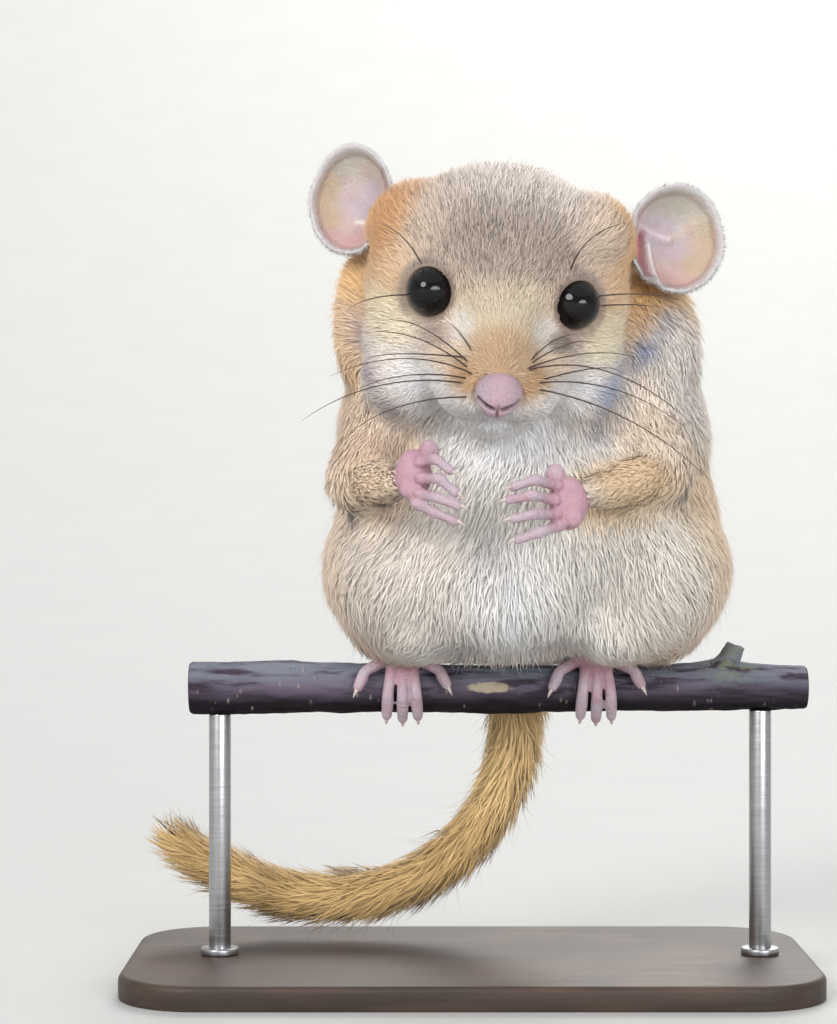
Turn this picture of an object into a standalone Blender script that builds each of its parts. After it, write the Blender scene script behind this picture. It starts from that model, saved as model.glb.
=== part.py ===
"""A hazel dormouse, life size, sitting on a short cut branch that a plain display stand holds.

The animal faces -Y, its own left is +X, and +Z is up. The origin is the middle of the base's underside.
Each flesh piece starts as a few overlapping rounded masses that are melted into one smooth form. Where
two forms would meet, the one behind is carved back, so that the pieces lie face to face a hair apart.
"""

import math
import random

import bmesh
import bpy
from mathutils import Matrix, Vector
from mathutils.bvhtree import BVHTree

MM = 0.001
GAP = 0.3 * MM
MERGE = 0.0005 * MM

# The display stand: a flat base and two short rods.
BASE_LENGTH = 68 * MM
BASE_DEPTH = 36 * MM
BASE_THICKNESS = 2.4 * MM
BASE_CORNER_RADIUS = 8 * MM
BASE_EDGE_ROUNDING = 0.6 * MM
ROD_RADIUS = 1.1 * MM
ROD_PLACES = {"stand_rod_right": -28, "stand_rod_left": 26}

# The cut branch that the animal grips. Its axis is level and runs along X. The middle of the animal sits
# a little to its own left of the base's middle, because its tail swings out to its right.
PERCH_HEIGHT = 29 * MM
SEAT = Vector((3 * MM, 0, PERCH_HEIGHT))
PERCH_ENDS = (-31, 30.6)
PERCH_RADII = (2.6 * MM, 2.15 * MM)
PERCH_SIDES = 12
KNOT_PLACE = 22

# The head, whose own frame has its origin between the ears' roots, the nose along -Y and the crown up.
HEAD_FROM_SEAT = (-0.41, -9.2, 38.9)
HEAD_TURN, HEAD_ROLL, HEAD_NOD = 2.9, 5.0, 28.0
EYE_RADIUS = 2.25 * MM
EYE_PLACE = (6.8, -6.2, 2.0)
EYE_AXIS = (0.48, -0.85, 0.20)
LID_OFFSET = 0.6 * MM
LID_RING_RADIUS = 2.55 * MM
LID_THICKNESS = 0.45 * MM
NOSE_PLACE = (0, -14.5, -4.3)
NOSE_RADII = (2.15, 1.7, 2.2)
NOSE_TAPER = 0.22
EAR_THICKNESS = 0.6 * MM
EAR_CUP_DEPTH = 2.6 * MM
EARS = {
    # name: (side, middle in the head's frame, width, height, lean outwards in degrees, way the cup faces)
    "ear_left": (1, (17.0, 4.8, 5.0), 9.8 * MM, 10.8 * MM, 22, (0.30, -0.94, 0.12)),
    "ear_right": (-1, (-14.9, 6.4, 5.2), 8.4 * MM, 10.8 * MM, 2, (-0.30, -0.94, 0.12)),
}
# The head's rounded masses, as (place, radii) in the head's frame. Those of a side are mirrored.
HEAD_MIDDLE = (
    ((0, 2.8, 1.5), (11.4, 10.5, 10.0)),  # cranium
    ((0, -3.2, 1.0), (8.4, 6.8, 7.2)),  # forehead
    ((0, -7.4, -1.4), (4.7, 6.4, 5.0)),  # bridge of the nose
    ((0, -8.8, -3.9), (5.0, 6.0, 4.4)),  # muzzle
    ((0, -8.4, -7.6), (4.0, 4.8, 2.9)),  # chin
)
HEAD_SIDES = (
    ((2.8, -11.4, -5.1), (3.0, 3.2, 2.9)),  # whisker pad
    ((4.2, -7.0, -3.4), (3.8, 5.2, 4.2)),  # side of the muzzle
    ((6.9, -1.4, -5.0), (5.6, 7.4, 6.6)),  # cheek
    ((7.4, 1.6, -0.6), (5.2, 7.6, 7.2)),  # side of the head
    ((7.8, 4.6, 3.4), (5.5, 6.0, 5.2)),  # temple
    ((6.0, -4.6, 1.9), (2.9, 3.0, 3.0)),  # brow
)

# The body's rounded masses, as (place from the seat, radii).
TORSO_MASSES = (
    ((2.8, 2, 17), (19.8, 17, 14.4)),
    ((2.4, 3.2, 26), (19.3, 15.4, 14.0)),
    ((2.1, 3.4, 34.4), (18.0, 12.4, 12.8)),
)
NECK_MASS = ((1.0, 0.5, 41.2), (13.5, 10.5, 9.2))
THIGH_MASSES = {
    "thigh_left": (((14.6, -1, 12), (8.6, 13, 9.2)), ((11, -5, 6.5), (5, 7, 4))),
    "thigh_right": (((-9.6, -1, 12), (8.4, 13, 9.2)), ((-8, -5, 6.5), (5, 7, 4))),
}

# The arms, as places of shoulder, elbow and wrist from the seat, with the radii of the two lengths.
ARM_PLACES = {
    "left": ((13.0, -3.6, 32), (15.2, -10.4, 21.6), (7.4, -20.2, 19.4)),
    "right": ((-8.8, -3.8, 32), (-13.8, -10.2, 20.8), (-9.9, -19.2, 20.4)),
}
UPPER_ARM_RADII = (4.6 * MM, 3.5 * MM)
FOREARM_RADII = (3.0 * MM, 2.2 * MM, 1.4 * MM)
FOREARM_BOW = Vector((0, -0.4, -0.4))

# The hands, as places from the seat. A finger has its knuckle, its bend and its tip.
FINGER_RADIUS = 0.52 * MM
CLAW_LENGTH = 0.75
HANDS = {
    "left": {
        "palm": (5.6, -21.3, 18.4), "palm_radii": (1.9, 1.5, 2.6), "thumb": (4.4, -21.6, 21.0),
        "fingers": (
            ((4.5, -22.0, 20.0), (2.4, -24.0, 20.5), (0.5, -23.9, 19.9)),
            ((4.3, -22.2, 18.7), (2.2, -24.3, 19.1), (0.1, -24.2, 18.7)),
            ((4.4, -22.2, 17.4), (2.4, -24.3, 17.4), (0.5, -24.2, 17.0)),
            ((4.8, -22.0, 16.4), (3.0, -24.0, 15.8), (0.9, -23.9, 15.1)),
        ),
    },
    "right": {
        "palm": (-8.6, -20.9, 21.0), "palm_radii": (1.8, 1.5, 2.5), "thumb": (-7.2, -21.3, 23.2),
        "fingers": (
            ((-8.0, -21.9, 22.2), (-6.6, -23.4, 22.4), (-5.3, -23.6, 21.4)),
            ((-7.9, -22.1, 20.7), (-6.3, -23.7, 20.6), (-4.8, -23.9, 19.4)),
            ((-8.0, -22.1, 19.3), (-6.4, -23.6, 18.9), (-4.6, -23.9, 18.2)),
            ((-8.3, -21.9, 18.4), (-6.8, -23.3, 17.6), (-4.9, -23.6, 16.8)),
        ),
    },
}

# The feet. A toe is given by how far it spreads along the branch, by the angles round the branch at
# which it starts and ends, and by how far it bows out.
FOOT_PLACES = {"left": 9.4, "right": -9.8}
TOE_RADIUS = 0.58 * MM
TOES = (
    (-4.3, 55, 6, 1.6), (-2.0, 50, -48, 0.4), (0.1, 52, -58, 0.0), (2.1, 50, -50, 0.4), (4.4, 55, 10, 1.6),
)

# The tail: places from the seat, in millimetres, with the radius out to the tips of its hair.
TAIL_ROUTE = (
    ((2.0, 10, 8), 3.0), ((2.2, 13.2, 4), 3.1), ((2.1, 12.4, -2), 3.0), ((1.2, 10.5, -9), 2.75),
    ((-2.8, 9.5, -16.0), 2.5), ((-10, 9, -21.0), 2.35), ((-20.4, 9, -22.1), 2.3), ((-28.5, 9, -19.4), 2.1),
    ((-32.4, 9, -17.0), 1.6),
)
TAIL_CORE_SHARE = 0.5
TAIL_CORE_SIDES = 7
TAIL_ROW_STEP = 4.8 * MM
TAIL_LOCKS_ROUND = 5
TAIL_LOCK_LENGTH = 6.8 * MM
TAIL_LOCK_THICKNESS = 0.6 * MM
TAIL_LOCK_SPREAD = 0.93
TAIL_STEPS = 6
TAIL_PARTS = (("tail_base", None, 18), ("tail_middle", 18, 30), ("tail_tip", 30, None))

# About how many triangles each melted form keeps.
TRIANGLES = {"head": 1700, "head guide": 600, "neck": 360, "neck guide": 260, "thigh": 340, "torso": 720,
             "hand": 200, "foot": 180, "thigh guide": 200, "eye guide": 180, "nose guide": 180}

SIDES = {"left": 1, "right": -1}


def mm(x, y, z):
    """A place or a size given in millimetres."""
    return Vector((x, y, z)) * MM


def from_seat(x, y, z):
    """A place given in millimetres from the branch's axis, below the middle of the animal."""
    return mm(x, y, z) + SEAT


HEAD_FRAME = (
    Matrix.Translation(from_seat(*HEAD_FROM_SEAT))
    @ Matrix.Rotation(math.radians(HEAD_TURN), 4, "Z")
    @ Matrix.Rotation(math.radians(HEAD_ROLL), 4, "Y")
    @ Matrix.Rotation(math.radians(HEAD_NOD), 4, "X")
)


def in_head(x, y, z):
    """A place given in millimetres in the head's own frame."""
    return HEAD_FRAME @ mm(x, y, z)


def finish(name, colour, roughness):
    made = bpy.data.materials.new(name)
    made.use_nodes = True
    shader = made.node_tree.nodes["Principled BSDF"]
    shader.inputs["Base Color"].default_value = (*colour, 1)
    shader.inputs["Roughness"].default_value = roughness
    shader.inputs["Metallic"].default_value = 0
    return made


def solid(name, shape, material=None):
    """Turn a bmesh into an object whose faces point out."""
    bmesh.ops.recalc_face_normals(shape, faces=shape.faces)
    mesh = bpy.data.meshes.new(name)
    shape.to_mesh(mesh)
    shape.free()
    mesh.shade_smooth()
    if material:
        mesh.materials.append(material)
    made = bpy.data.objects.new(name, mesh)
    bpy.context.collection.objects.link(made)
    return made


def ellipsoid(centre, radii, turn=None, segments=24):
    """A rounded mass: centre in metres, radii in millimetres."""
    shape = bmesh.new()
    place = Matrix.Translation(centre) @ (turn or Matrix()).to_4x4() @ Matrix.Diagonal((*mm(*radii), 1))
    bmesh.ops.create_uvsphere(
        shape, u_segments=segments, v_segments=segments * 2 // 3, radius=1, matrix=place
    )
    return solid("mass", shape)


def head_mass(centre, radii):
    """A rounded mass given in the head's frame."""
    return ellipsoid(in_head(*centre), radii, HEAD_FRAME.to_3x3())


def body_masses(masses):
    """Rounded masses given from the seat."""
    return [ellipsoid(from_seat(*place), radii) for place, radii in masses]


def smooth_stations(stations, steps):
    """Read a smooth curve through stations of (place, radius), with so many steps between two."""
    values = [(*place, radius) for place, radius in stations]
    first = [2 * a - b for a, b in zip(values[0], values[1])]
    last = [2 * a - b for a, b in zip(values[-1], values[-2])]
    values = [first, *values, last]
    read = []
    for start in range(1, len(values) - 2):
        a, b, c, d = values[start - 1 : start + 3]
        for step in range(steps):
            t = step / steps
            read.append([
                0.5 * (2 * q + (r - p) * t + (2 * p - 5 * q + 4 * r - s) * t**2 + (3 * q - p - 3 * r + s) * t**3)
                for p, q, r, s in zip(a, b, c, d)
            ])
    read.append(values[-2])
    return [(Vector(value[:3]), value[3]) for value in read]


def tube(stations, sides=10, steps=3, round_ends=True):
    """A closed tapered tube along a smooth curve through stations of (place, radius)."""
    read = smooth_stations(stations, steps)
    places = [place for place, _ in read]
    tangents = [
        (places[min(i + 1, len(places) - 1)] - places[max(i - 1, 0)]).normalized() for i in range(len(places))
    ]
    dome = ((0.94, 0.35), (0.6, 0.8)) if round_ends else ()
    rings = [(places[0] - tangents[0] * read[0][1] * out, tangents[0], read[0][1] * wide)
             for out, wide in dome]
    rings += [(place, tangent, radius) for (place, radius), tangent in zip(read, tangents)]
    rings += [(places[-1] + tangents[-1] * read[-1][1] * out, tangents[-1], read[-1][1] * wide)
              for out, wide in reversed(dome)]

    shape = bmesh.new()
    across = tangents[0].orthogonal().normalized()
    loops = []
    for place, tangent, radius in rings:
        across = (across - tangent * across.dot(tangent)).normalized()
        other = tangent.cross(across)
        turns = [math.tau * i / sides for i in range(sides)]
        loops.append([
            shape.verts.new(place + (across * math.cos(a) + other * math.sin(a)) * radius) for a in turns
        ])
    for ring, after in zip(loops, loops[1:]):
        for i in range(sides):
            j = (i + 1) % sides
            shape.faces.new((ring[i], ring[j], after[j], after[i]))
    shape.faces.new(loops[0])
    shape.faces.new(loops[-1])
    return solid("tube", shape)


def apply_modifiers(thing):
    graph = bpy.context.evaluated_depsgraph_get()
    mesh = bpy.data.meshes.new_from_object(thing.evaluated_get(graph))
    thing.modifiers.clear()
    thing.data = mesh


def triangle_count(thing):
    return sum(len(face.vertices) - 2 for face in thing.data.polygons)


def keep_largest(thing):
    """Drop every closed surface but the largest, which fills sealed hollows and removes scraps."""
    shape = bmesh.new()
    shape.from_mesh(thing.data)
    bmesh.ops.remove_doubles(shape, verts=shape.verts, dist=MERGE)
    bmesh.ops.dissolve_degenerate(shape, edges=shape.edges, dist=MERGE)
    bmesh.ops.triangulate(shape, faces=shape.faces)
    left = set(shape.faces)
    shells = []
    while left:
        front = [left.pop()]
        shell = list(front)
        while front:
            face = front.pop()
            for edge in face.edges:
                for other in edge.link_faces:
                    if other in left:
                        left.remove(other)
                        front.append(other)
                        shell.append(other)
        volume = sum(
            face.verts[0].co.dot(face.verts[1].co.cross(face.verts[2].co)) / 6 for face in shell
        )
        shells.append((abs(volume), shell))
    shells.sort(key=lambda entry: entry[0])
    for _, shell in shells[:-1]:
        bmesh.ops.delete(shape, geom=shell, context="FACES")
    shape.to_mesh(thing.data)
    shape.free()


def thin(thing, triangles):
    """Take faces away until about so many triangles are left."""
    count = triangle_count(thing)
    if count > triangles:
        fewer = thing.modifiers.new("fewer", "DECIMATE")
        fewer.ratio = triangles / count
        fewer.use_collapse_triangulate = True
        apply_modifiers(thing)


def melt(name, masses, voxel, rounds, triangles, material):
    """Melt overlapping masses into one smooth form."""
    shape = bmesh.new()
    for mass in masses:
        shape.from_mesh(mass.data)
        bpy.data.objects.remove(mass)
    made = solid(name, shape)
    remesh = made.modifiers.new("melt", "REMESH")
    remesh.mode = "VOXEL"
    remesh.voxel_size = voxel * MM
    smooth = made.modifiers.new("smooth", "SMOOTH")
    smooth.factor = 0.5
    smooth.iterations = rounds
    apply_modifiers(made)
    thin(made, triangles)
    keep_largest(made)
    made.data.materials.clear()
    made.data.materials.append(material)
    made.data.shade_smooth()
    return made


def fuse(thing, pieces, solver="EXACT"):
    """Join closed pieces to a node with one Boolean union, and keep its outer surface."""
    group = bpy.data.collections.new(thing.name + "_pieces")
    for piece in pieces:
        group.objects.link(piece)
    union = thing.modifiers.new("fuse", "BOOLEAN")
    union.operation = "UNION"
    union.operand_type = "COLLECTION"
    union.collection = group
    union.solver = solver
    apply_modifiers(thing)
    for piece in pieces:
        bpy.data.objects.remove(piece)
    bpy.data.collections.remove(group)
    keep_largest(thing)


def guide(thing, clearance=GAP, triangles=None):
    """A copy of a form, grown by the clearance, to carve its neighbours with. A coarse one has fewer faces."""
    shape = bmesh.new()
    shape.from_mesh(thing.data)
    shape.normal_update()
    places = [vert.co + vert.normal * clearance for vert in shape.verts]
    for vert, place in zip(shape.verts, places):
        vert.co = place
    cutter = solid(thing.name + "_guide", shape)
    if triangles:
        thin(cutter, triangles)
    cutter.hide_render = True
    cutter.display_type = "WIRE"
    return cutter


def carve(thing, cutters, remove=False, solver="EXACT"):
    """Cut the cutters out of a node and keep its largest piece."""
    for cutter in cutters:
        cutter.hide_render = True
        cutter.display_type = "WIRE"
        cut = thing.modifiers.new("cut", "BOOLEAN")
        cut.operation = "DIFFERENCE"
        cut.object = cutter
        cut.solver = solver
        apply_modifiers(thing)
    if remove:
        for cutter in cutters:
            bpy.data.objects.remove(cutter)
    keep_largest(thing)


def skin_points(thing, starts, direction):
    """Where straight lines from the starts along a direction first meet a form."""
    tree = BVHTree.FromPolygons(
        [vert.co for vert in thing.data.vertices], [face.vertices[:] for face in thing.data.polygons]
    )
    hits = [tree.ray_cast(start, direction)[0] for start in starts]
    return [hit for hit in hits if hit]


def make_base(material):
    shape = bmesh.new()
    size = Matrix.Diagonal((BASE_LENGTH, BASE_DEPTH, BASE_THICKNESS, 1))
    bmesh.ops.create_cube(shape, size=1, matrix=Matrix.Translation((0, 0, BASE_THICKNESS / 2)) @ size)
    upright = [edge for edge in shape.edges if abs(edge.verts[0].co.z - edge.verts[1].co.z) > BASE_THICKNESS / 2]
    bmesh.ops.bevel(
        shape, geom=upright, offset=BASE_CORNER_RADIUS, segments=6, profile=0.5, affect="EDGES"
    )
    rim = [
        edge for edge in shape.edges
        if all(abs(vert.co.z - BASE_THICKNESS) < GAP for vert in edge.verts) and len(edge.link_faces) == 2
    ]
    bmesh.ops.bevel(shape, geom=rim, offset=BASE_EDGE_ROUNDING, segments=2, profile=0.5, affect="EDGES")
    return solid("stand_base", shape, material)


def make_perch(material):
    """The branch: a slightly uneven tapered length, sawn square at both ends, with the stub of a twig."""
    left, right = PERCH_ENDS
    stations = []
    for place, radius_share, lift in (
        (0, 1.0, 0), (0.16, 1.03, 0.12), (0.33, 0.97, 0), (0.5, 1.0, -0.1), (0.68, 0.98, 0), (0.84, 1.06, 0.1),
        (1, 1.0, 0.05),
    ):
        radius = PERCH_RADII[0] + (PERCH_RADII[1] - PERCH_RADII[0]) * place
        stations.append((from_seat(left + (right - left) * place, 0, lift), radius * radius_share))
    perch = tube(stations, sides=PERCH_SIDES, steps=2, round_ends=False)
    perch.name = "perch"
    perch.data.materials.append(material)
    twig_foot = from_seat(KNOT_PLACE, -0.3, 1.5)
    knot = ellipsoid(twig_foot, (2.6, 1.7, 1.7), segments=12)
    twig = tube([(twig_foot, 1.3 * MM), (twig_foot + mm(1.4, -0.2, 2.6), 0.95 * MM)], 8, 1, round_ends=False)
    fuse(perch, [knot, twig])
    return perch


def make_rods(material, perch_guide):
    for name, place in ROD_PLACES.items():
        shape = bmesh.new()
        bottom, top = BASE_THICKNESS + GAP, PERCH_HEIGHT
        bmesh.ops.create_cone(
            shape, cap_ends=True, segments=12, radius1=ROD_RADIUS, radius2=ROD_RADIUS, depth=top - bottom,
            matrix=Matrix.Translation((SEAT.x + place * MM, 0, (top + bottom) / 2)),
        )
        carve(solid(name, shape, material), [perch_guide])


def make_head_form(material):
    """Cranium, forehead, muzzle, whisker pads, chin, cheeks, temples and brows melted together."""
    masses = [head_mass(place, radii) for place, radii in HEAD_MIDDLE]
    for side in SIDES.values():
        masses += [head_mass((side * x, y, z), radii) for (x, y, z), radii in HEAD_SIDES]
    return melt("head", masses, 0.45, 14, TRIANGLES["head"], material)


def eye_centre(side):
    x, y, z = EYE_PLACE
    return in_head(side * x, y, z)


def eye_axis(side):
    x, y, z = EYE_AXIS
    return (HEAD_FRAME.to_3x3() @ Vector((side * x, y, z))).normalized()


def make_eye(name, side, material):
    eye = ellipsoid(eye_centre(side), [EYE_RADIUS / MM] * 3, segments=16)
    eye.name = name
    eye.data.materials.append(material)
    return eye


def lid_ring(side):
    """The rim of both eyelids, a ring just in front of the eyeball's widest part."""
    axis = eye_axis(side)
    turn = axis.to_track_quat("Z", "Y").to_matrix().to_4x4()
    centre = eye_centre(side) + axis * LID_OFFSET
    shape = bmesh.new()
    around, section = 18, 5
    loops = []
    for i in range(around):
        a = math.tau * i / around
        out = Vector((math.cos(a), math.sin(a), 0))
        ring_centre = out * LID_RING_RADIUS
        loops.append([
            shape.verts.new(centre + turn @ (
                ring_centre + (out * math.cos(b) + Vector((0, 0, math.sin(b)))) * LID_THICKNESS
            ))
            for b in (math.tau * j / section for j in range(section))
        ])
    for i, ring in enumerate(loops):
        after = loops[(i + 1) % around]
        for j in range(section):
            k = (j + 1) % section
            shape.faces.new((ring[j], ring[k], after[k], after[j]))
    return solid("lids", shape)


def make_nose(material):
    """The bare nose pad, widest near its top, and the cutters of its two nostrils."""
    nose = ellipsoid(in_head(*NOSE_PLACE), NOSE_RADII, HEAD_FRAME.to_3x3(), 16)
    to_head = HEAD_FRAME.inverted()
    middle = mm(*NOSE_PLACE)
    for vert in nose.data.vertices:
        place = to_head @ vert.co - middle
        place.x *= 1 + NOSE_TAPER * place.z / (NOSE_RADII[2] * MM)
        vert.co = HEAD_FRAME @ (place + middle)
    nose.name = "nose"
    nose.data.materials.append(material)
    x, y, z = NOSE_PLACE
    nostrils = []
    for side in SIDES.values():
        inner = in_head(side * 0.55, y - 1.9, z - 0.75)
        outer = in_head(side * 1.75, y - 1.0, z - 0.35)
        nostrils.append(tube([(inner, 0.34 * MM), (outer, 0.4 * MM)], 6, 1))
    return nose, nostrils


def mouth_grooves(head_form):
    """The line of the mouth below the lips, and the philtrum between nose and mouth."""
    forward = -(HEAD_FRAME.to_3x3() @ Vector((0, -1, 0)))
    curve = [(x, -30, -7.4 - 0.05 * x * x) for x in (-3.6, -2.4, -1.2, 0, 1.2, 2.4, 3.6)]
    line = skin_points(head_form, [in_head(*place) for place in curve], forward)
    split = skin_points(head_form, [in_head(0, -30, z) for z in (-5.6, -6.4, -7.3)], forward)
    lips = tube([(place, 0.36 * MM) for place in line], 6, 2)
    philtrum = tube([(place, 0.3 * MM) for place in split], 6, 1)
    return [lips, philtrum]


def make_ear(name, material, cutters):
    """A thin cupped ear, joined to the head by a short root."""
    side, place, width, height, lean, facing = EARS[name]
    centre = in_head(*place)
    front = Vector(facing).normalized()
    up = Matrix.Rotation(math.radians(side * lean), 3, "Y") @ Vector((0, 0, 1))
    up = (up - front * up.dot(front)).normalized()
    across = up.cross(front)
    shape = bmesh.new()
    around, rings = 20, 4

    def surface(share, turn, inset):
        wide = (width / 2 - inset) * share * math.cos(turn)
        tall = (height / 2 - inset) * share * math.sin(turn) * (1 + 0.06 * math.sin(turn))
        back = EAR_CUP_DEPTH * (1 - share**2.4)
        return centre + across * wide + up * tall - front * back

    sheets = []
    for thickness in (0, EAR_THICKNESS):
        middle = shape.verts.new(surface(0, 0, 0) - front * thickness)
        loops = []
        for ring in range(1, rings + 1):
            share = ring / rings
            loops.append([
                shape.verts.new(
                    surface(share, math.tau * i / around, 0 if ring < rings else thickness * 0.35)
                    - front * thickness * (1 if ring < rings else 0.75)
                )
                for i in range(around)
            ])
        sheets.append((middle, loops))
    for middle, loops in sheets:
        for i in range(around):
            j = (i + 1) % around
            shape.faces.new((middle, loops[0][i], loops[0][j]))
            for ring, after in zip(loops, loops[1:]):
                shape.faces.new((ring[i], after[i], after[j], ring[j]))
    inner, outer = sheets[0][1][-1], sheets[1][1][-1]
    for i in range(around):
        j = (i + 1) % around
        shape.faces.new((inner[i], outer[i], outer[j], inner[j]))
    ear = solid(name, shape, material)

    inward = -across if across.x * side > 0 else across
    root = centre + inward * width * 0.36 - up * height * 0.30 - front * EAR_CUP_DEPTH * 0.75
    deep = root + inward * 3.2 * MM - up * 0.8 * MM
    fuse(ear, [tube([(root, 1.9 * MM), (deep, 3.0 * MM)], 10, 1)])
    carve(ear, cutters)


def make_upper_arm(side_name, material):
    shoulder, elbow, _ = [from_seat(*place) for place in ARM_PLACES[side_name]]
    arm = tube(list(zip((shoulder, elbow), UPPER_ARM_RADII)), 12, 3)
    arm.name = "upper_arm_" + side_name
    arm.data.materials.append(material)
    return arm


def make_forearm(side_name, material, cutters):
    _, elbow, wrist = [from_seat(*place) for place in ARM_PLACES[side_name]]
    middle = (elbow + wrist) / 2 + FOREARM_BOW * MM
    arm = tube(list(zip((elbow, middle, wrist), FOREARM_RADII)), 12, 2)
    arm.name = "forearm_" + side_name
    arm.data.materials.append(material)
    carve(arm, cutters)
    return arm


def make_hand(side_name, material, cutters):
    """A palm, a thumb pad and four curled fingers, each ending in a small claw."""
    hand_form = HANDS[side_name]
    palm = from_seat(*hand_form["palm"])
    wrist = from_seat(*ARM_PLACES[side_name][2])
    masses = [
        ellipsoid(palm, hand_form["palm_radii"], segments=14),
        ellipsoid(from_seat(*hand_form["thumb"]), (1.0, 0.9, 1.1), segments=12),
        tube([(wrist, 1.35 * MM), (palm, 1.3 * MM)], 10, 1),
    ]
    hand = melt("hand_" + side_name, masses, 0.3, 4, TRIANGLES["hand"], material)
    pieces = []
    for knuckle, bend, tip in hand_form["fingers"]:
        onward = (Vector(tip) - Vector(bend)).normalized()
        claw = Vector(tip) + onward * CLAW_LENGTH + Vector((0, 0.2, -0.1))
        root = from_seat(*knuckle).lerp(palm, 0.45)
        pieces.append(tube([
            (root, FINGER_RADIUS * 1.2), (from_seat(*bend), FINGER_RADIUS),
            (from_seat(*tip), FINGER_RADIUS * 0.95), (from_seat(*claw), 0.16 * MM),
        ], 6, 2, round_ends=False))
    fuse(hand, pieces)
    carve(hand, cutters)


def make_foot(side_name, material, cutters):
    """A hind foot: its sole on the branch and its toes bent down round the branch's front."""
    place = FOOT_PLACES[side_name]
    reach = (PERCH_RADII[0] + PERCH_RADII[1]) / 2 + GAP + TOE_RADIUS + 0.25 * MM

    def on_branch(x, angle, lift=0):
        a = math.radians(angle)
        out = reach + lift * MM
        return SEAT + Vector((x * MM, -out * math.cos(a), out * math.sin(a)))

    masses = [
        ellipsoid(on_branch(place, 62, 0.4), (2.5, 1.7, 1.3), segments=14),
        ellipsoid(on_branch(place, 100, 0.6), (2.2, 2.4, 1.2), segments=14),
    ]
    foot = melt("foot_" + side_name, masses, 0.3, 4, TRIANGLES["foot"], material)
    toes = []
    for spread, start, end, bow in TOES:
        root = spread * 0.45
        middle = (start + end) / 2
        tip = spread * (1.0 if abs(spread) > 3 else 0.75)
        toes.append(tube([
            (on_branch(place + root, start), TOE_RADIUS * 1.15),
            (on_branch(place + (root + tip) / 2 + math.copysign(bow, spread) * 0.3, middle, 0.25), TOE_RADIUS),
            (on_branch(place + tip, end, 0.05), TOE_RADIUS * 0.95),
            (on_branch(place + tip * 1.04, end - 12, -0.05), 0.2 * MM),
        ], 6, 2, round_ends=False))
    fuse(foot, toes)
    carve(foot, cutters)


def tail_lock(root, along, out, length, width, reach, rise):
    """A flat tapered lock of tail hair that rises from the core and lies back along the tail."""
    side = along.cross(out).normalized()
    foot = root - along * length * 0.12
    middle = root + along * length * 0.45 + out * rise
    tip = root + along * length + out * reach
    shape = bmesh.new()
    rings = []
    for place, wide in ((foot, 0.7), (middle, 1.0)):
        rings.append([
            shape.verts.new(place + side * a * width * wide / 2 + out * b * TAIL_LOCK_THICKNESS)
            for a, b in ((1, -0.5), (0, 0.5), (-1, -0.5))
        ])
    end = shape.verts.new(tip)
    shape.faces.new(rings[0])
    for i in range(3):
        j = (i + 1) % 3
        shape.faces.new((rings[0][i], rings[0][j], rings[1][j], rings[1][i]))
        shape.faces.new((rings[1][i], rings[1][j], end))
    return solid("lock", shape)


def beyond(place, way):
    """A large block that fills the side of a place that way points to, and reaches half a gap over it."""
    size = 80 * MM
    shape = bmesh.new()
    turn = way.to_track_quat("Z", "Y").to_matrix().to_4x4()
    middle = Matrix.Translation(place + way * (size - GAP) / 2)
    bmesh.ops.create_cube(shape, size=size, matrix=middle @ turn)
    return solid("block", shape)


def make_tail(material, cutters):
    """The tail, from behind the branch down and round to the animal's right, parted into three lengths."""
    read = smooth_stations([(from_seat(*place), radius * MM) for place, radius in TAIL_ROUTE], TAIL_STEPS)
    core = tube([(place, radius * TAIL_CORE_SHARE) for place, radius in read[::3]], TAIL_CORE_SIDES, 1)
    core.name = "tail"
    draw = random.Random(11)
    locks = []
    travelled, row = 0.0, 0
    for (place, radius), (after, _) in zip(read[5:-1], read[6:]):
        step = after - place
        travelled += step.length
        if travelled < TAIL_ROW_STEP:
            continue
        travelled -= TAIL_ROW_STEP
        row += 1
        along = step.normalized()
        level = along.cross(Vector((0, 1, 0))).normalized()
        for i in range(TAIL_LOCKS_ROUND):
            turn = math.tau * (i + 0.5 * (row % 2) + draw.uniform(-0.06, 0.06)) / TAIL_LOCKS_ROUND
            out = Matrix.Rotation(turn, 3, along) @ level
            root = place + out * radius * TAIL_CORE_SHARE * 0.62
            length = TAIL_LOCK_LENGTH * draw.uniform(0.85, 1.15) * (0.6 + 0.4 * radius / (2.3 * MM))
            width = math.tau * radius / TAIL_LOCKS_ROUND * TAIL_LOCK_SPREAD
            reach = radius * (1.04 - TAIL_CORE_SHARE * 0.62) * draw.uniform(0.85, 1.1)
            locks.append(tail_lock(root, along, out, length, width, reach, reach * 0.72))
    fuse(core, locks, "MANIFOLD")
    core.data.materials.clear()
    core.data.materials.append(material)

    parts = {}
    for name, first, last in TAIL_PARTS:
        piece = bpy.data.objects.new(name, core.data.copy())
        bpy.context.collection.objects.link(piece)
        blocks = []
        for at, sense in ((first, -1), (last, 1)):
            if at is not None:
                way = (read[at + 1][0] - read[at - 1][0]).normalized()
                blocks.append(beyond(read[at][0], way * sense))
        carve(piece, blocks, remove=True, solver="MANIFOLD")
        parts[name] = piece
    bpy.data.objects.remove(core)
    carve(parts["tail_base"], cutters)


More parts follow.
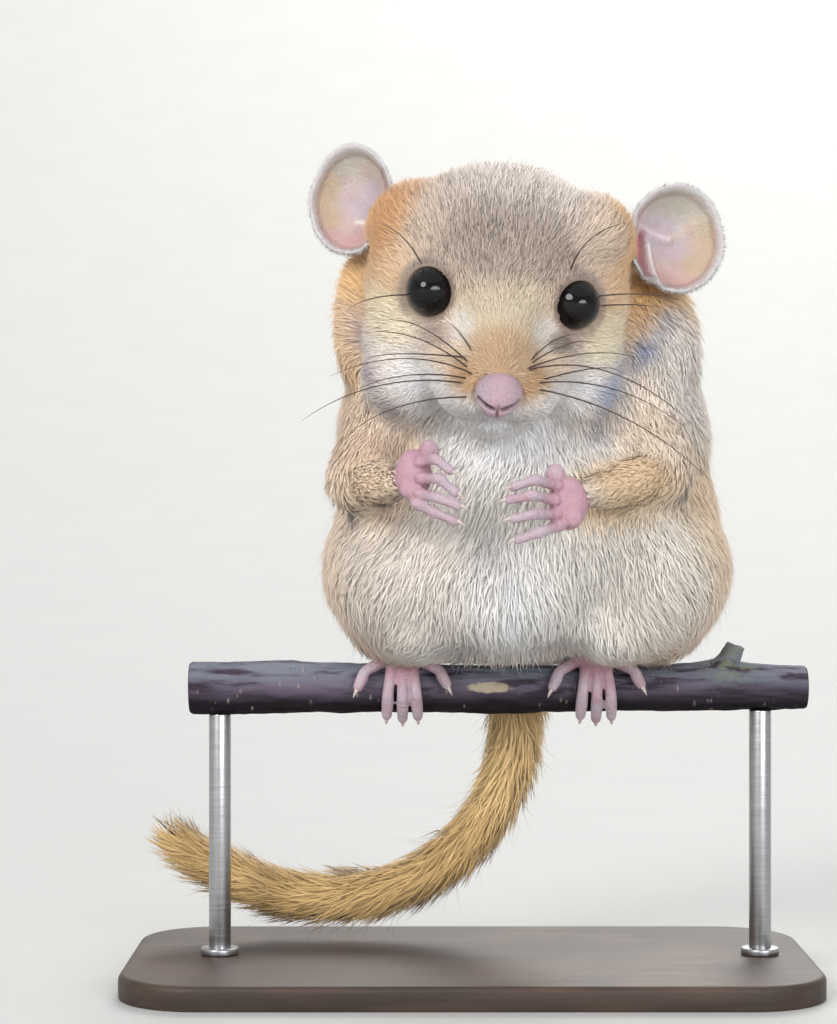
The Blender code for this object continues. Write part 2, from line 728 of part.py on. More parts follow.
def main():
    for thing in list(bpy.data.objects):
        bpy.data.objects.remove(thing)

    orange_fur = finish("orange_fur", (0.62, 0.36, 0.15), 0.85)
    pale_fur = finish("pale_fur", (0.75, 0.6, 0.4), 0.85)
    pink_skin = finish("pink_skin", (0.75, 0.45, 0.42), 0.55)
    black_eye = finish("black_eye", (0.005, 0.005, 0.007), 0.08)
    bark = finish("bark", (0.16, 0.11, 0.11), 0.8)
    painted_wood = finish("painted_wood", (0.03, 0.03, 0.03), 0.5)
    steel = finish("steel", (0.5, 0.5, 0.52), 0.3)

    make_base(painted_wood)
    perch = make_perch(bark)
    perch_guide = guide(perch)
    make_rods(steel, perch_guide)

    head = make_head_form(orange_fur)
    head_guide = guide(head, GAP * 1.3, TRIANGLES["head guide"])
    nose, nostrils = make_nose(pink_skin)
    eyes = [make_eye("eye_" + name, side, black_eye) for name, side in SIDES.items()]
    grooves = mouth_grooves(head)
    fuse(head, [lid_ring(side) for side in SIDES.values()])
    eye_guides = [guide(eye, GAP * 1.15, TRIANGLES["eye guide"]) for eye in eyes]
    carve(head, [guide(nose, GAP * 1.15, TRIANGLES["nose guide"]), *grooves, *eye_guides])
    carve(nose, nostrils)

    neck = melt("neck", body_masses([NECK_MASS]), 0.9, 4, TRIANGLES["neck"], orange_fur)
    neck_guide = guide(neck, GAP * 1.1, TRIANGLES["neck guide"])
    thighs = [
        melt(name, body_masses(masses), 0.8, 6, TRIANGLES["thigh"], orange_fur)
        for name, masses in THIGH_MASSES.items()
    ]
    thigh_guides = [guide(thigh, GAP * 1.4, TRIANGLES["thigh guide"]) for thigh in thighs]
    upper_arms = [make_upper_arm(name, orange_fur) for name in SIDES]
    upper_guides = [guide(arm) for arm in upper_arms]
    forearms = [make_forearm(name, orange_fur, [cutter]) for name, cutter in zip(SIDES, upper_guides)]
    forearm_guides = [guide(arm) for arm in forearms]
    torso = melt("torso", body_masses(TORSO_MASSES), 0.9, 14, TRIANGLES["torso"], pale_fur)
    torso_guide = guide(torso)

    for name in EARS:
        make_ear(name, pink_skin, [head_guide, neck_guide, torso_guide])
    carve(neck, [head_guide])
    for arm in upper_arms:
        carve(arm, [head_guide, neck_guide])
    carve(torso, [head_guide, neck_guide, *thigh_guides, *upper_guides, *forearm_guides, perch_guide])
    for thigh in thighs:
        carve(thigh, [perch_guide, *upper_guides, *forearm_guides])
    carve(thighs[1], [thigh_guides[0]])

    for name, cutter in zip(SIDES, forearm_guides):
        make_hand(name, pink_skin, [cutter])
        make_foot(name, pink_skin, [perch_guide, torso_guide, *thigh_guides])
    make_tail(orange_fur, [torso_guide, perch_guide])

    for thing in list(bpy.data.objects):
        if thing.display_type == "WIRE":
            bpy.data.objects.remove(thing)


main()
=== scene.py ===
import math

import bmesh
import bpy
import numpy as np
from mathutils import Matrix, Vector, noise
from mathutils.bvhtree import BVHTree


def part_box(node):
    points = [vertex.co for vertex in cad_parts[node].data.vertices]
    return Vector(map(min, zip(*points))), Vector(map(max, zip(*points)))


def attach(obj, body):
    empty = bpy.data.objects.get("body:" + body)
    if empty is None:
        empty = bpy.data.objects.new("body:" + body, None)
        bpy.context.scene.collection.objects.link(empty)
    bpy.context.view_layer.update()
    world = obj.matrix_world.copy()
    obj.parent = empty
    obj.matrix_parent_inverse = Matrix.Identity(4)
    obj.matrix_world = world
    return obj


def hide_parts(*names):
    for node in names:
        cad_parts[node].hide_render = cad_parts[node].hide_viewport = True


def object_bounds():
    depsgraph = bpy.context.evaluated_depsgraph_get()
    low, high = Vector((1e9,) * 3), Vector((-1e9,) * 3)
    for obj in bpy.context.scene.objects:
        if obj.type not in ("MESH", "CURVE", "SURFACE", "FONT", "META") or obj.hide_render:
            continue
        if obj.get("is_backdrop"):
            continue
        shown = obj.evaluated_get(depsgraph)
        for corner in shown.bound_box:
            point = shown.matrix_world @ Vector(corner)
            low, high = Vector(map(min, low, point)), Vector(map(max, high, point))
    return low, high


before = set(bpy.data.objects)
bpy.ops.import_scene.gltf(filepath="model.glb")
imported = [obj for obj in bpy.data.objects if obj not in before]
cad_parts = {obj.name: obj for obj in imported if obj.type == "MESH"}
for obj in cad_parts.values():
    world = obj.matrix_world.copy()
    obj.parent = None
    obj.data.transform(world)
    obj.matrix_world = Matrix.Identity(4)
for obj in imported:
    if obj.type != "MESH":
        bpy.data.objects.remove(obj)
solid_lowest, solid_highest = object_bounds()
MM = 0.001


# Base board
# The display stand's foot is a small board of close-grained wood. Its corners and its top edge are rounded
# over, and it is painted dark brown and rubbed down, so that the grain still shows faintly in the paint.


def paint(red, green, blue):
    """A paint's colour, given as it looks on a screen from 0 to 255, as the light that it reflects."""
    share = np.array([red, green, blue]) / 255
    return np.where(share <= 0.04045, share / 12.92, ((share + 0.055) / 1.055) ** 2.4)


class Number:
    """A shader socket. Arithmetic on it adds Math nodes, so that a mask reads as a plain expression."""

    def __init__(self, finish, socket):
        self.finish = finish
        self.socket = socket

    def math(self, operation, first, second=0.0):
        return self.finish.node("Math", {"operation": operation}, {0: first, 1: second})

    def __add__(self, other):
        return self.math("ADD", self, other)

    def __sub__(self, other):
        return self.math("SUBTRACT", self, other)

    def __rsub__(self, other):
        return self.math("SUBTRACT", other, self)

    def __mul__(self, other):
        return self.math("MULTIPLY", self, other)

    def __truediv__(self, other):
        return self.math("DIVIDE", self, other)

    __radd__ = __add__

    def over(self, least, most):
        """0 where the value is under least, 1 where it is over most, and a soft step between."""
        reach = {"Value": self, "From Min": least, "From Max": most}
        return self.finish.node("MapRange", {"interpolation_type": "SMOOTHSTEP"}, reach)


class Finish:
    """A material on the Principled shader, with one method that adds any of its nodes."""

    def __init__(self, name, **fixed):
        self.material = bpy.data.materials.new(name)
        self.material.use_nodes = True
        self.tree = self.material.node_tree
        self.shader = self.tree.nodes["Principled BSDF"]
        for socket, value in fixed.items():
            self.shader.inputs[socket.replace("_", " ")].default_value = value

    def feed(self, socket, value):
        if isinstance(value, Number):
            self.tree.links.new(value.socket, socket)
        elif socket.type == "RGBA":
            socket.default_value = (*value, 1)
        else:
            socket.default_value = value

    def node(self, kind, settings, inputs, output=0):
        made = self.tree.nodes.new("ShaderNode" + kind)
        for name, value in settings.items():
            setattr(made, name, value)
        for name, value in inputs.items():
            self.feed(made.inputs[name], value)
        return Number(self, made.outputs[output])

    def place(self, stretch=(1, 1, 1)):
        """Where a point lies on the object, in metres, stretched by so much along each axis."""
        where = self.node("TexCoord", {}, {}, "Object")
        return self.node("Mapping", {}, {"Vector": where, "Scale": stretch})

    def along(self, axis):
        return self.node("SeparateXYZ", {}, {0: self.place()}, axis)

    def noise(self, size, stretch=(1, 1, 1), detail=3.0):
        """Cloudy noise from 0 to 1, whose blots are about so large in metres."""
        return self.node("TexNoise", {}, {"Vector": self.place(stretch), "Scale": 1 / size, "Detail": detail})

    def mixed(self, factor, first, second, way="MIX"):
        return self.node("Mix", {"data_type": "RGBA", "blend_type": way}, {0: factor, 6: first, 7: second}, 2)

    def use(self, **sockets):
        for socket, value in sockets.items():
            self.feed(self.shader.inputs[socket.replace("_", " ")], value)

    def bump(self, height, depth):
        """Relief that stands out by about so much in metres."""
        self.use(Normal=self.node("Bump", {}, {"Height": height, "Distance": depth, "Strength": 1.0}))


def round_edges(piece, wanted, width, segments):
    """Bevel the edges of a piece whose two ends pass a test."""
    bpy.ops.object.mode_set(mode="EDIT")
    bpy.ops.mesh.select_mode(type="EDGE")
    bpy.ops.mesh.select_all(action="DESELECT")
    shape = bmesh.from_edit_mesh(piece.data)
    for edge in shape.edges:
        edge.select_set(wanted(edge.verts[0].co, edge.verts[1].co))
    bmesh.update_edit_mesh(piece.data)
    bpy.ops.mesh.bevel(offset=width, segments=segments, affect="EDGES")
    bpy.ops.object.mode_set(mode="OBJECT")


def placed(add, **settings):
    """Add a primitive, alone selected, and settle its place, turn and scale in its mesh."""
    bpy.ops.object.select_all(action="DESELECT")
    add(**settings)
    bpy.ops.object.transform_apply(location=True, rotation=True, scale=True)
    return bpy.context.object


def finished(piece, name, material, slot, *nodes):
    """Name a piece, give it its material, and let it stand for the solids that it replaces. The slot is not
    used.
    """
    piece.name = name
    piece.data.materials.clear()
    piece.data.materials.append(material)
    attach(piece, "root")
    if nodes:
        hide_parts(*nodes)


CORNER_RADIUS = 8 * MM
TOP_ROUNDING = 0.6 * MM
UNDER_ROUNDING = 0.2 * MM
SHARP_CREASE = math.radians(40)
HAIR = 0.1 * MM
GRAIN_SIZE = 1.6 * MM
GRAIN_STRETCH = (0.12, 1, 1)
PAINT_CLOUD = 14 * MM
PAINT_RELIEF = 0.03 * MM

low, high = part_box("stand_base")
board = placed(bpy.ops.mesh.primitive_cube_add, size=1, location=(low + high) / 2, scale=high - low)
round_edges(board, lambda a, b: abs(a.z - b.z) > MM, CORNER_RADIUS, 14)
round_edges(board, lambda a, b: min(a.z, b.z) > high.z - HAIR, TOP_ROUNDING, 5)
round_edges(board, lambda a, b: max(a.z, b.z) < low.z + HAIR, UNDER_ROUNDING, 2)
bpy.ops.object.shade_smooth_by_angle(angle=SHARP_CREASE)

brown_paint = Finish("painted_wood", Specular_IOR_Level=0.4)
grain = brown_paint.noise(GRAIN_SIZE, GRAIN_STRETCH, 6)
cloud = brown_paint.noise(PAINT_CLOUD)
top_edge = brown_paint.along("Z").over(high.z - TOP_ROUNDING, high.z - TOP_ROUNDING / 4)
rubbed = top_edge * cloud.over(0.45, 0.7)
coat_of_paint = brown_paint.mixed(grain.over(0.35, 0.7), paint(52, 40, 34), paint(70, 54, 45))
brown_paint.use(Base_Color=brown_paint.mixed(rubbed * 0.25, coat_of_paint, paint(122, 94, 72)))
brown_paint.use(Roughness=0.42 + grain * 0.2)
brown_paint.bump(grain, PAINT_RELIEF)
finished(board, "base_board", brown_paint.material, "painted_wood", "stand_base")


# Rods
# Two short turned steel rods stand in the board and carry the branch. Each has a thin collar where it
# enters the wood, and fine turning marks run round it.
ROD_SUNK = 0.4 * MM
ROD_SIDES = 40
ROD_ROUNDING = 0.15 * MM
COLLAR_RADIUS = 1.9 * MM
COLLAR_HEIGHT = 0.7 * MM
MARK_SIZE = 0.25 * MM
MARK_STRETCH = (0.05, 0.05, 1)
MARK_RELIEF = 0.01 * MM
BOARD_TOP = high.z

steel = Finish("steel", Metallic=1.0)
turning = steel.noise(MARK_SIZE, MARK_STRETCH, 2)
steel.use(Base_Color=steel.mixed(turning, paint(150, 150, 154), paint(192, 192, 194)))
steel.use(Roughness=0.24 + turning * 0.18)
steel.bump(turning, MARK_RELIEF)

for name in ("stand_rod_right", "stand_rod_left"):
    low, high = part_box(name)
    middle = (low + high) / 2
    rod = ((high.x - low.x) / 2, BOARD_TOP - ROD_SUNK, high.z)
    collar = (COLLAR_RADIUS, BOARD_TOP, BOARD_TOP + COLLAR_HEIGHT)
    parts = []
    for radius, bottom, top in (rod, collar):
        part = placed(
            bpy.ops.mesh.primitive_cylinder_add, vertices=ROD_SIDES, radius=radius, depth=top - bottom,
            location=(middle.x, middle.y, (top + bottom) / 2),
        )
        round_edges(part, lambda a, b: abs(a.z - b.z) < HAIR, ROD_ROUNDING, 3)
        parts.append(part)
    for part in parts:
        part.select_set(True)
    bpy.ops.object.join()
    bpy.ops.object.shade_smooth_by_angle(angle=SHARP_CREASE)
    finished(bpy.context.object, name.replace("stand_", ""), steel.material, "steel", name)


# Branch
# A short length of a living branch, sawn square at both ends. Its thin bark is purple-brown, greyer on top,
# partly from weathering and partly as a painted sheen, and painted darker below as shade, with fine
# lengthwise wrinkles, pale pores, one pale scar at the front and the stub of a twig.

# The sizes are in millimetres. SEAT is the place on the branch's axis below the middle of the animal. A
# swelling has its share of the branch's length, then its thickness and its height. A row of the twig has
# its place and radius. The scar has its middle and its half sizes, along the branch and up.
SEAT = Vector((3, 0, 29)) * MM
BRANCH_ENDS = (-31, 30.6)
BRANCH_RADII = (2.6, 2.15)
BRANCH_SIDES = 84
SWELLINGS = (
    (0, 1.0, 0), (0.16, 1.03, 0.12), (0.33, 0.97, 0), (0.5, 1.0, -0.1), (0.68, 0.98, 0), (0.84, 1.06, 0.1),
    (1, 1.0, 0.05),
)
SAWN_CHAMFER = 0.25
TWIG = ((22, -0.3, 1.5, 1.5), (22.8, -0.4, 2.6, 1.15), (23.5, -0.5, 4.3, 0.95))
TWIG_SIDES = 28
TWIG_COLLAR = 0.35
SCAR = ((-1.1, 0.2), (2.1, 0.55))
SCAR_DEPTH = 0.16


def from_seat(x, y, z):
    """A place given in millimetres from the branch's axis, below the middle of the animal."""
    return Vector((x, y, z)) * MM + SEAT


def smooth_route(stations, steps):
    """Rows of numbers read from a smooth curve through some stations, with so many steps between two."""
    rows = np.array(stations, float)
    rows = np.vstack([2 * rows[0] - rows[1], rows, 2 * rows[-1] - rows[-2]])
    p, q, r, s = rows[:-3, None], rows[1:-2, None], rows[2:-1, None], rows[3:, None]
    t = (np.arange(steps) / steps)[None, :, None]
    read = 0.5 * (2 * q + (r - p) * t + (2 * p - 5 * q + 4 * r - s) * t**2 + (3 * q - p - 3 * r + s) * t**3)
    return np.vstack([read.reshape(-1, rows.shape[1]), rows[-2:-1]])


def mesh_piece(name, points, faces):
    mesh = bpy.data.meshes.new(name)
    mesh.from_pydata(np.asarray(points), [], faces)
    mesh.update()
    mesh.shade_smooth()
    piece = bpy.data.objects.new(name, mesh)
    bpy.context.collection.objects.link(piece)
    return piece


def between_rings(rings, around, start=0, turned=False):
    """The faces that join each ring of points to the next one, or the same faces turned over."""
    faces = []
    for i in range(rings - 1):
        for j in range(around):
            k = (j + 1) % around
            a = start + i * around
            face = (a + j, a + k, a + around + k, a + around + j)
            faces.append((face[0], face[3], face[2], face[1]) if turned else face)
    return faces


def swept(name, places, radii, sides, dome=0):
    """A closed tube through places, as thick as the radii say. A dome rounds off its far end."""
    places = np.asarray(places, float)
    radii = np.asarray(radii, float)
    if dome:
        onward = places[-1] - places[-2]
        onward = onward / np.linalg.norm(onward)
        turns = np.linspace(0, math.pi / 2, dome + 1)[1:-1]
        places = np.vstack([places, places[-1] + np.outer(np.sin(turns), onward) * radii[-1]])
        radii = np.append(radii, np.cos(turns) * radii[-1])
    ways = np.gradient(places, axis=0)
    ways /= np.linalg.norm(ways, axis=1, keepdims=True)
    across = np.cross(ways[0], (0.3, 0.5, 0.81))
    around = np.arange(sides) * math.tau / sides
    rings = []
    for place, way, radius in zip(places, ways, radii):
        across = across - way * across.dot(way)
        across /= np.linalg.norm(across)
        other = np.cross(way, across)
        rings.append(place + (np.outer(np.cos(around), across) + np.outer(np.sin(around), other)) * radius)
    points = np.vstack([*rings, places[:1], places[-1:]])
    first, last = len(points) - 2, len(points) - 1
    faces = between_rings(len(places), sides)
    end = (len(places) - 1) * sides
    for j in range(sides):
        k = (j + 1) % sides
        faces.append((k, j, first))
        faces.append((end + j, end + k, last))
    return mesh_piece(name, points, faces)


def tube(name, rows, sides, dome=0):
    """A closed tube through rows that give a place from the seat and a radius, in millimetres."""
    rows = np.asarray(rows)
    return swept(name, rows[:, :3] * MM + np.array(SEAT), rows[:, 3] * MM, sides, dome)


def pick(pieces):
    """Select some pieces and nothing else, with the first one active."""
    bpy.ops.object.select_all(action="DESELECT")
    for piece in pieces:
        piece.select_set(True)
    bpy.context.view_layer.objects.active = pieces[0]


def joined(pieces):
    pick(pieces)
    bpy.ops.object.join()
    return bpy.context.object


def get_points(mesh, what="co"):
    values = np.empty(len(mesh.vertices) * 3, np.float32)
    mesh.vertices.foreach_get(what, values)
    return values.reshape(-1, 3).astype(float)


def set_points(mesh, points):
    mesh.vertices.foreach_set("co", np.asarray(points, np.float32).ravel())
    mesh.update()


left_end, right_end = BRANCH_ENDS
thick_end, thin_end = BRANCH_RADII
read = smooth_route(SWELLINGS, 50)
branch_x = left_end + (right_end - left_end) * read[:, 0]
branch_radius = (thick_end + (thin_end - thick_end) * read[:, 0]) * read[:, 1]
from_end = np.minimum(branch_x - left_end, right_end - branch_x)
chamfer = np.interp(from_end, (0, SAWN_CHAMFER), (0.93, 1))
rows = np.stack([branch_x, np.zeros(len(read)), read[:, 2], branch_radius * chamfer], 1)
branch = joined([tube("branch", rows, BRANCH_SIDES), tube("twig", smooth_route(TWIG, 8), TWIG_SIDES)])

points = get_points(branch.data)
local = (points - np.array(SEAT)) / MM
out = local * (0, 1, 1)
out /= np.linalg.norm(out, axis=1, keepdims=True) + 1e-9
relief = np.zeros(len(local))
for along, across, height in ((0.25, 1.3, 0.18), (0.6, 3.4, 0.12)):
    ridges = [noise.noise(Vector((x * along, y * across, z * across))) for x, y, z in local]
    relief += np.array(ridges) * height
collar = np.exp(-(((local[:, 0] - TWIG[0][0]) / 2.6) ** 2) - ((local[:, 2] - 2.2) / 1.8) ** 2)
(scar_x, scar_z), (scar_length, scar_height) = SCAR
scar = np.exp(-((local[:, 0] - scar_x) / scar_length) ** 4 - ((local[:, 2] - scar_z) / scar_height) ** 4)
scar *= local[:, 1] < 0
inner = (branch_x[0] < local[:, 0] - 0.1) & (local[:, 0] + 0.1 < branch_x[-1])
points += out * ((relief + TWIG_COLLAR * collar - SCAR_DEPTH * scar) * inner * MM)[:, None]
set_points(branch.data, points)

WRINKLE_SIZE = 0.9 * MM
BLOT_SIZE = 5 * MM
FLECK_SIZE = 0.4 * MM
PORE_SPACING = 1.5 * MM
BARK_RELIEF = 0.3 * MM
MIDDLE_X = from_seat((left_end + right_end) / 2, 0, 0).x
HALF_LENGTH = (right_end - left_end) / 2 * MM
TREE_RINGS = 15

bark = Finish("bark", Specular_IOR_Level=0.15)
height = bark.along("Z")
lengthwise = bark.noise(WRINKLE_SIZE, (0.16, 1, 1), 7)
blots = bark.noise(BLOT_SIZE, (0.4, 1, 1), 4)
fine = bark.noise(FLECK_SIZE, (0.6, 1, 1), 5)
pore_field = bark.node("TexVoronoi", {}, {"Vector": bark.place((1.5, 0.7, 0.7)), "Scale": 1 / PORE_SPACING})
pores = (1 - pore_field.over(0.08, 0.2)) * blots.over(0.45, 0.6)
brown = bark.mixed(blots.over(0.4, 0.62), paint(68, 58, 74), paint(96, 86, 102))
# Greyer on top: partly weathering, partly a painted sheen where the light falls on the upper side.
sheen_and_weathering_top = height.over(SEAT.z - 0.3 * MM, SEAT.z + 2.0 * MM) * lengthwise.over(0.32, 0.6)
sheen_and_weathered = bark.mixed(sheen_and_weathering_top * 0.85, brown, paint(118, 124, 136))
# Painted shade: the underside of the branch is darkened almost to black.
painted_shade_below = 1 - height.over(SEAT.z - 1.6 * MM, SEAT.z + 0.4 * MM)
shaded = bark.mixed(painted_shade_below * 0.92, sheen_and_weathered, paint(14, 11, 16))
cracked = bark.mixed((1 - lengthwise.over(0.36, 0.48)) * 0.65, shaded, paint(38, 30, 36))
spotted = bark.mixed(pores * 0.55, cracked, paint(158, 144, 136))
knot = {0: bark.place(), 1: from_seat(22.6, -0.4, 3.0)}
knot_gap = bark.node("VectorMath", {"operation": "DISTANCE"}, knot, "Value")
moss = (1 - knot_gap.over(1.6 * MM, 4.2 * MM)) * fine.over(0.4, 0.6)
mossy = bark.mixed(moss * 0.6, spotted, paint(120, 128, 96))
scar_offset = {0: bark.place(), 1: from_seat(scar_x, -2.4, scar_z)}
scar_place = bark.node("VectorMath", {"operation": "SUBTRACT"}, scar_offset)
scar_scale = {0: scar_place, 1: (0.45 / MM, 0.8 / MM, 1.7 / MM)}
scar_share = bark.node("VectorMath", {"operation": "MULTIPLY"}, scar_scale)
scar_reach = bark.node("VectorMath", {"operation": "LENGTH"}, {0: scar_share}, "Value") + (fine - 0.5) * 0.9
scar_paint = bark.mixed(lengthwise, paint(150, 132, 116), paint(206, 196, 170))
scarred = bark.mixed((1 - scar_reach.over(0.7, 1.1)) * 0.85, mossy, scar_paint)
from_middle = bark.node("Math", {"operation": "ABSOLUTE"}, {0: bark.along("X") - MIDDLE_X})
end_face = from_middle.over(HALF_LENGTH - 0.06 * MM, HALF_LENGTH - 0.02 * MM)
axis_y = bark.along("Y")
axis_z = height - SEAT.z
from_axis = bark.node("Math", {"operation": "SQRT"}, {0: axis_y * axis_y + axis_z * axis_z})
ring_place = {0: (from_axis / MM + fine * 0.35) * TREE_RINGS}
tree_rings = bark.node("Math", {"operation": "SINE"}, ring_place) * 0.5 + 0.5
sawn = bark.mixed(tree_rings * 0.7, paint(206, 178, 136), paint(158, 122, 84))
sawn_edge = bark.mixed(from_axis.over(1.9 * MM, 2.1 * MM), sawn, paint(92, 66, 56))
bark.use(Base_Color=bark.mixed(end_face, scarred, sawn_edge))
bark.use(Roughness=0.58 + fine * 0.3)
bark.bump(lengthwise + fine * 0.4 + pores * 0.3, BARK_RELIEF)
finished(branch, "branch", bark.material, "bark", "perch")


# Skin
# One skin covers the whole animal under its coat: the solids of the flesh, grown until they meet, melted
# into one form, eased, and then drawn in by as much as the coat is deep there. It carries the markings, with
# some painted light and shade among them.

# The head has a frame of its own, placed from the seat in millimetres and turned in degrees, in which the
# eyes, the nose and the ears are placed. An ear has its side, its middle, its width and height, how far it
# leans outwards, and the way that it faces. A row of the tail has its place and its radius with its coat.
HEAD_PLACE = (-0.41, -9.2, 38.9)
HEAD_TURN, HEAD_ROLL, HEAD_NOD = 2.9, 5.0, 28.0
HEAD_FRAME = (
    Matrix.Translation(from_seat(*HEAD_PLACE))
    @ Matrix.Rotation(math.radians(HEAD_TURN), 4, "Z")
    @ Matrix.Rotation(math.radians(HEAD_ROLL), 4, "Y")
    @ Matrix.Rotation(math.radians(HEAD_NOD), 4, "X")
)
TO_HEAD = np.array(HEAD_FRAME.inverted())
SIDES = {"left": 1, "right": -1}
EYE_RADIUS = 2.25 * MM
EYE_BALL = 2.4 * MM
EYE_PLACE = (6.8, -6.2, 2.0)
EYE_AXIS = (0.48, -0.85, 0.20)
NOSE_PLACE = (0, -14.5, -4.3)
NOSE_RADII = (2.15, 1.7, 2.2)
EARS = {
    "ear_left": (1, (17.0, 4.8, 5.0), 9.8 * MM, 10.8 * MM, 22, (0.30, -0.94, 0.12)),
    "ear_right": (-1, (-14.9, 6.4, 5.2), 8.4 * MM, 10.8 * MM, 2, (-0.30, -0.94, 0.12)),
}
EAR_CUP = 2.6 * MM
TAIL_ROUTE = (
    (2.0, 10, 8, 3.0), (2.2, 13.2, 4, 3.1), (2.1, 12.4, -2, 3.0), (1.2, 10.5, -9, 2.75),
    (-2.8, 9.5, -16.0, 2.5), (-10, 9, -21.0, 2.35), (-20.4, 9, -22.1, 2.3), (-28.5, 9, -19.4, 2.1),
    (-32.4, 9, -17.0, 1.6),
)
TAIL_CORE = 0.42
SKIN_GROWTH = 0.28 * MM
SKIN_VOXEL = 0.4 * MM
# For each part of the body: its solids, the coat's depth in millimetres, its tufts' length and width in
# millimetres and their rise from the skin in degrees, and how many outer and inner tufts grow on a square
# millimetre.
REGIONS = {
    "head": (("head",), 0.7, 1.7, 0.11, 21, 12.5, 42),
    "neck": (("neck",), 1.1, 2.5, 0.145, 18, 8.5, 24),
    "torso": (("torso",), 1.15, 2.6, 0.15, 17, 8, 23),
    "thigh": (("thigh_left", "thigh_right"), 1.05, 2.4, 0.145, 17, 8.5, 24),
    "upper arm": (("upper_arm_left", "upper_arm_right"), 0.85, 2.0, 0.135, 17, 9.5, 27),
    "forearm": (("forearm_left", "forearm_right"), 0.45, 1.5, 0.115, 14, 12.5, 38),
    "tail": ((), 0.0, 4.4, 0.18, 28, 21, 30),
}
# Soft masses under the coat that round the form off between the solids, each with its middle and half
# sizes in millimetres: the jowls and the left side of the crown, in the head's frame, then the seat of the
# belly on the branch, the sides of the neck behind the cheeks and the left shoulder.
HEAD_MASSES = (
    ((8.2, -5.6, -7.6), (4.6, 4.6, 4.4)),
    ((-8.2, -5.6, -7.6), (4.6, 4.6, 4.4)),
    ((8.0, 1.0, 6.0), (4.6, 5.6, 4.6)),
)
SOFT_MASSES = (
    ((-0.2, -1.5, 6.0), (11.5, 5.0, 3.4)),
    ((-0.4, -9.0, 10.5), (9.0, 7.2, 7.0)),
    ((14.8, -1.2, 33.5), (5.8, 5.6, 9.0)),
    ((15.0, -1.5, 24.5), (6.4, 6.0, 7.5)),
    ((-12.2, -2.2, 36.0), (4.8, 5.4, 9.0)),
)
FLESH = [node for nodes, *_ in REGIONS.values() for node in nodes]


def in_head(x, y, z):
    """A place given in millimetres in the head's own frame."""
    return HEAD_FRAME @ (Vector((x, y, z)) * MM)


def head_places(points):
    """Points in millimetres in the head's own frame."""
    return (points @ TO_HEAD[:3, :3].T + TO_HEAD[:3, 3]) / MM


def eye_place(side):
    """The middle of an eye, and the way that it looks."""
    axis = HEAD_FRAME.to_3x3() @ Vector((side * EYE_AXIS[0], *EYE_AXIS[1:]))
    return np.array(in_head(side * EYE_PLACE[0], *EYE_PLACE[1:])), np.array(axis.normalized())


def unit(vectors):
    return vectors / np.maximum(np.linalg.norm(vectors, axis=1, keepdims=True), 1e-12)


def step(least, most, values):
    """0 under least, 1 over most, and a soft step between."""
    share = np.clip((values - least) / (most - least), 0, 1)
    return share * share * (3 - 2 * share)


def patch(places, middle, sizes, edge=0.45):
    """1 inside an ellipsoid, 0 outside it, with a soft edge."""
    reach = np.linalg.norm((places - np.array(middle)) / np.array(sizes), axis=1)
    return 1 - step(1 - edge, 1 + edge, reach)


def ripple(points, size, seed):
    """Smooth wandering values from about -1 to 1, whose swells are about so large."""
    draw = np.random.default_rng(seed)
    total = np.zeros(len(points))
    for _ in range(7):
        way = draw.normal(size=3)
        way *= draw.uniform(0.7, 1.6) / np.linalg.norm(way)
        total += np.sin(points @ way * math.tau / size / 2 + draw.uniform(0, math.tau))
    return total / 3


def grown(nodes, width):
    """Copies of solids in one piece, each grown along its normals."""
    whole = bmesh.new()
    for node in nodes:
        part = bmesh.new()
        part.from_mesh(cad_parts[node].data)
        bmesh.ops.remove_doubles(part, verts=part.verts, dist=MM / 1000)
        part.normal_update()
        for vert, way in [(vert, vert.normal.copy()) for vert in part.verts]:
            vert.co += way * width
        held = bpy.data.meshes.new("held")
        part.to_mesh(held)
        part.free()
        whole.from_mesh(held)
        bpy.data.meshes.remove(held)
    mesh = bpy.data.meshes.new("grown")
    whole.to_mesh(mesh)
    whole.free()
    piece = bpy.data.objects.new("grown", mesh)
    bpy.context.collection.objects.link(piece)
    return piece


def melted(piece, voxel):
    """Turn overlapping closed bodies into one even mesh."""
    pick([piece])
    piece.data.remesh_voxel_size = voxel
    piece.data.remesh_voxel_adaptivity = 0
    bpy.ops.object.voxel_remesh()
    piece.data.shade_smooth()
    return piece


def edge_ends(mesh):
    ends = np.empty(len(mesh.edges) * 2, np.int32)
    mesh.edges.foreach_get("vertices", ends)
    return ends.reshape(-1, 2)


def eased(values, ends, rounds, share=0.5):
    """Draw the value at each point towards the mean of its neighbours."""
    a, b = ends[:, 0], ends[:, 1]
    many = len(values)
    count = np.maximum(np.bincount(np.concatenate([a, b]), minlength=many), 1)
    for _ in range(rounds):
        totals = [np.bincount(a, row[b], many) + np.bincount(b, row[a], many) for row in values.T]
        values = values + (np.stack(totals, 1) / count[:, None] - values) * share
    return values


def gap_to(points, nodes):
    """How far each point is from the nearest face of some solids."""
    whole = bmesh.new()
    for node in nodes:
        whole.from_mesh(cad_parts[node].data)
    tree = BVHTree.FromBMesh(whole)
    whole.free()
    return np.array([tree.find_nearest(point)[3] for point in points.tolist()])


def least_gap(points, places):
    """How far each point is from the nearest of some places."""
    least = np.full(len(points), 1.0)
    for place in places:
        least = np.minimum(least, np.linalg.norm(points - place, axis=1))
    return least


def round_eye(points, side):
    """How far points lie from an eye's middle, how far ahead of it and how far beside its axis."""
    middle, axis = eye_place(side)
    apart = points - middle
    ahead = apart @ axis
    beside = np.linalg.norm(apart - np.outer(ahead, axis), axis=1)
    return np.linalg.norm(apart, axis=1), ahead, beside


def ear_axes(name):
    """An ear's side, middle, outward, upward and forward ways, and its half width and half height."""
    side, place, width, tall, lean, facing = EARS[name]
    front = Vector(facing).normalized()
    up = Matrix.Rotation(math.radians(side * lean), 3, "Y") @ Vector((0, 0, 1))
    up = (up - front * up.dot(front)).normalized()
    outward = up.cross(front)
    if outward.x * side < 0:
        outward = -outward
    return side, in_head(*place), outward, up, front, width / 2, tall / 2


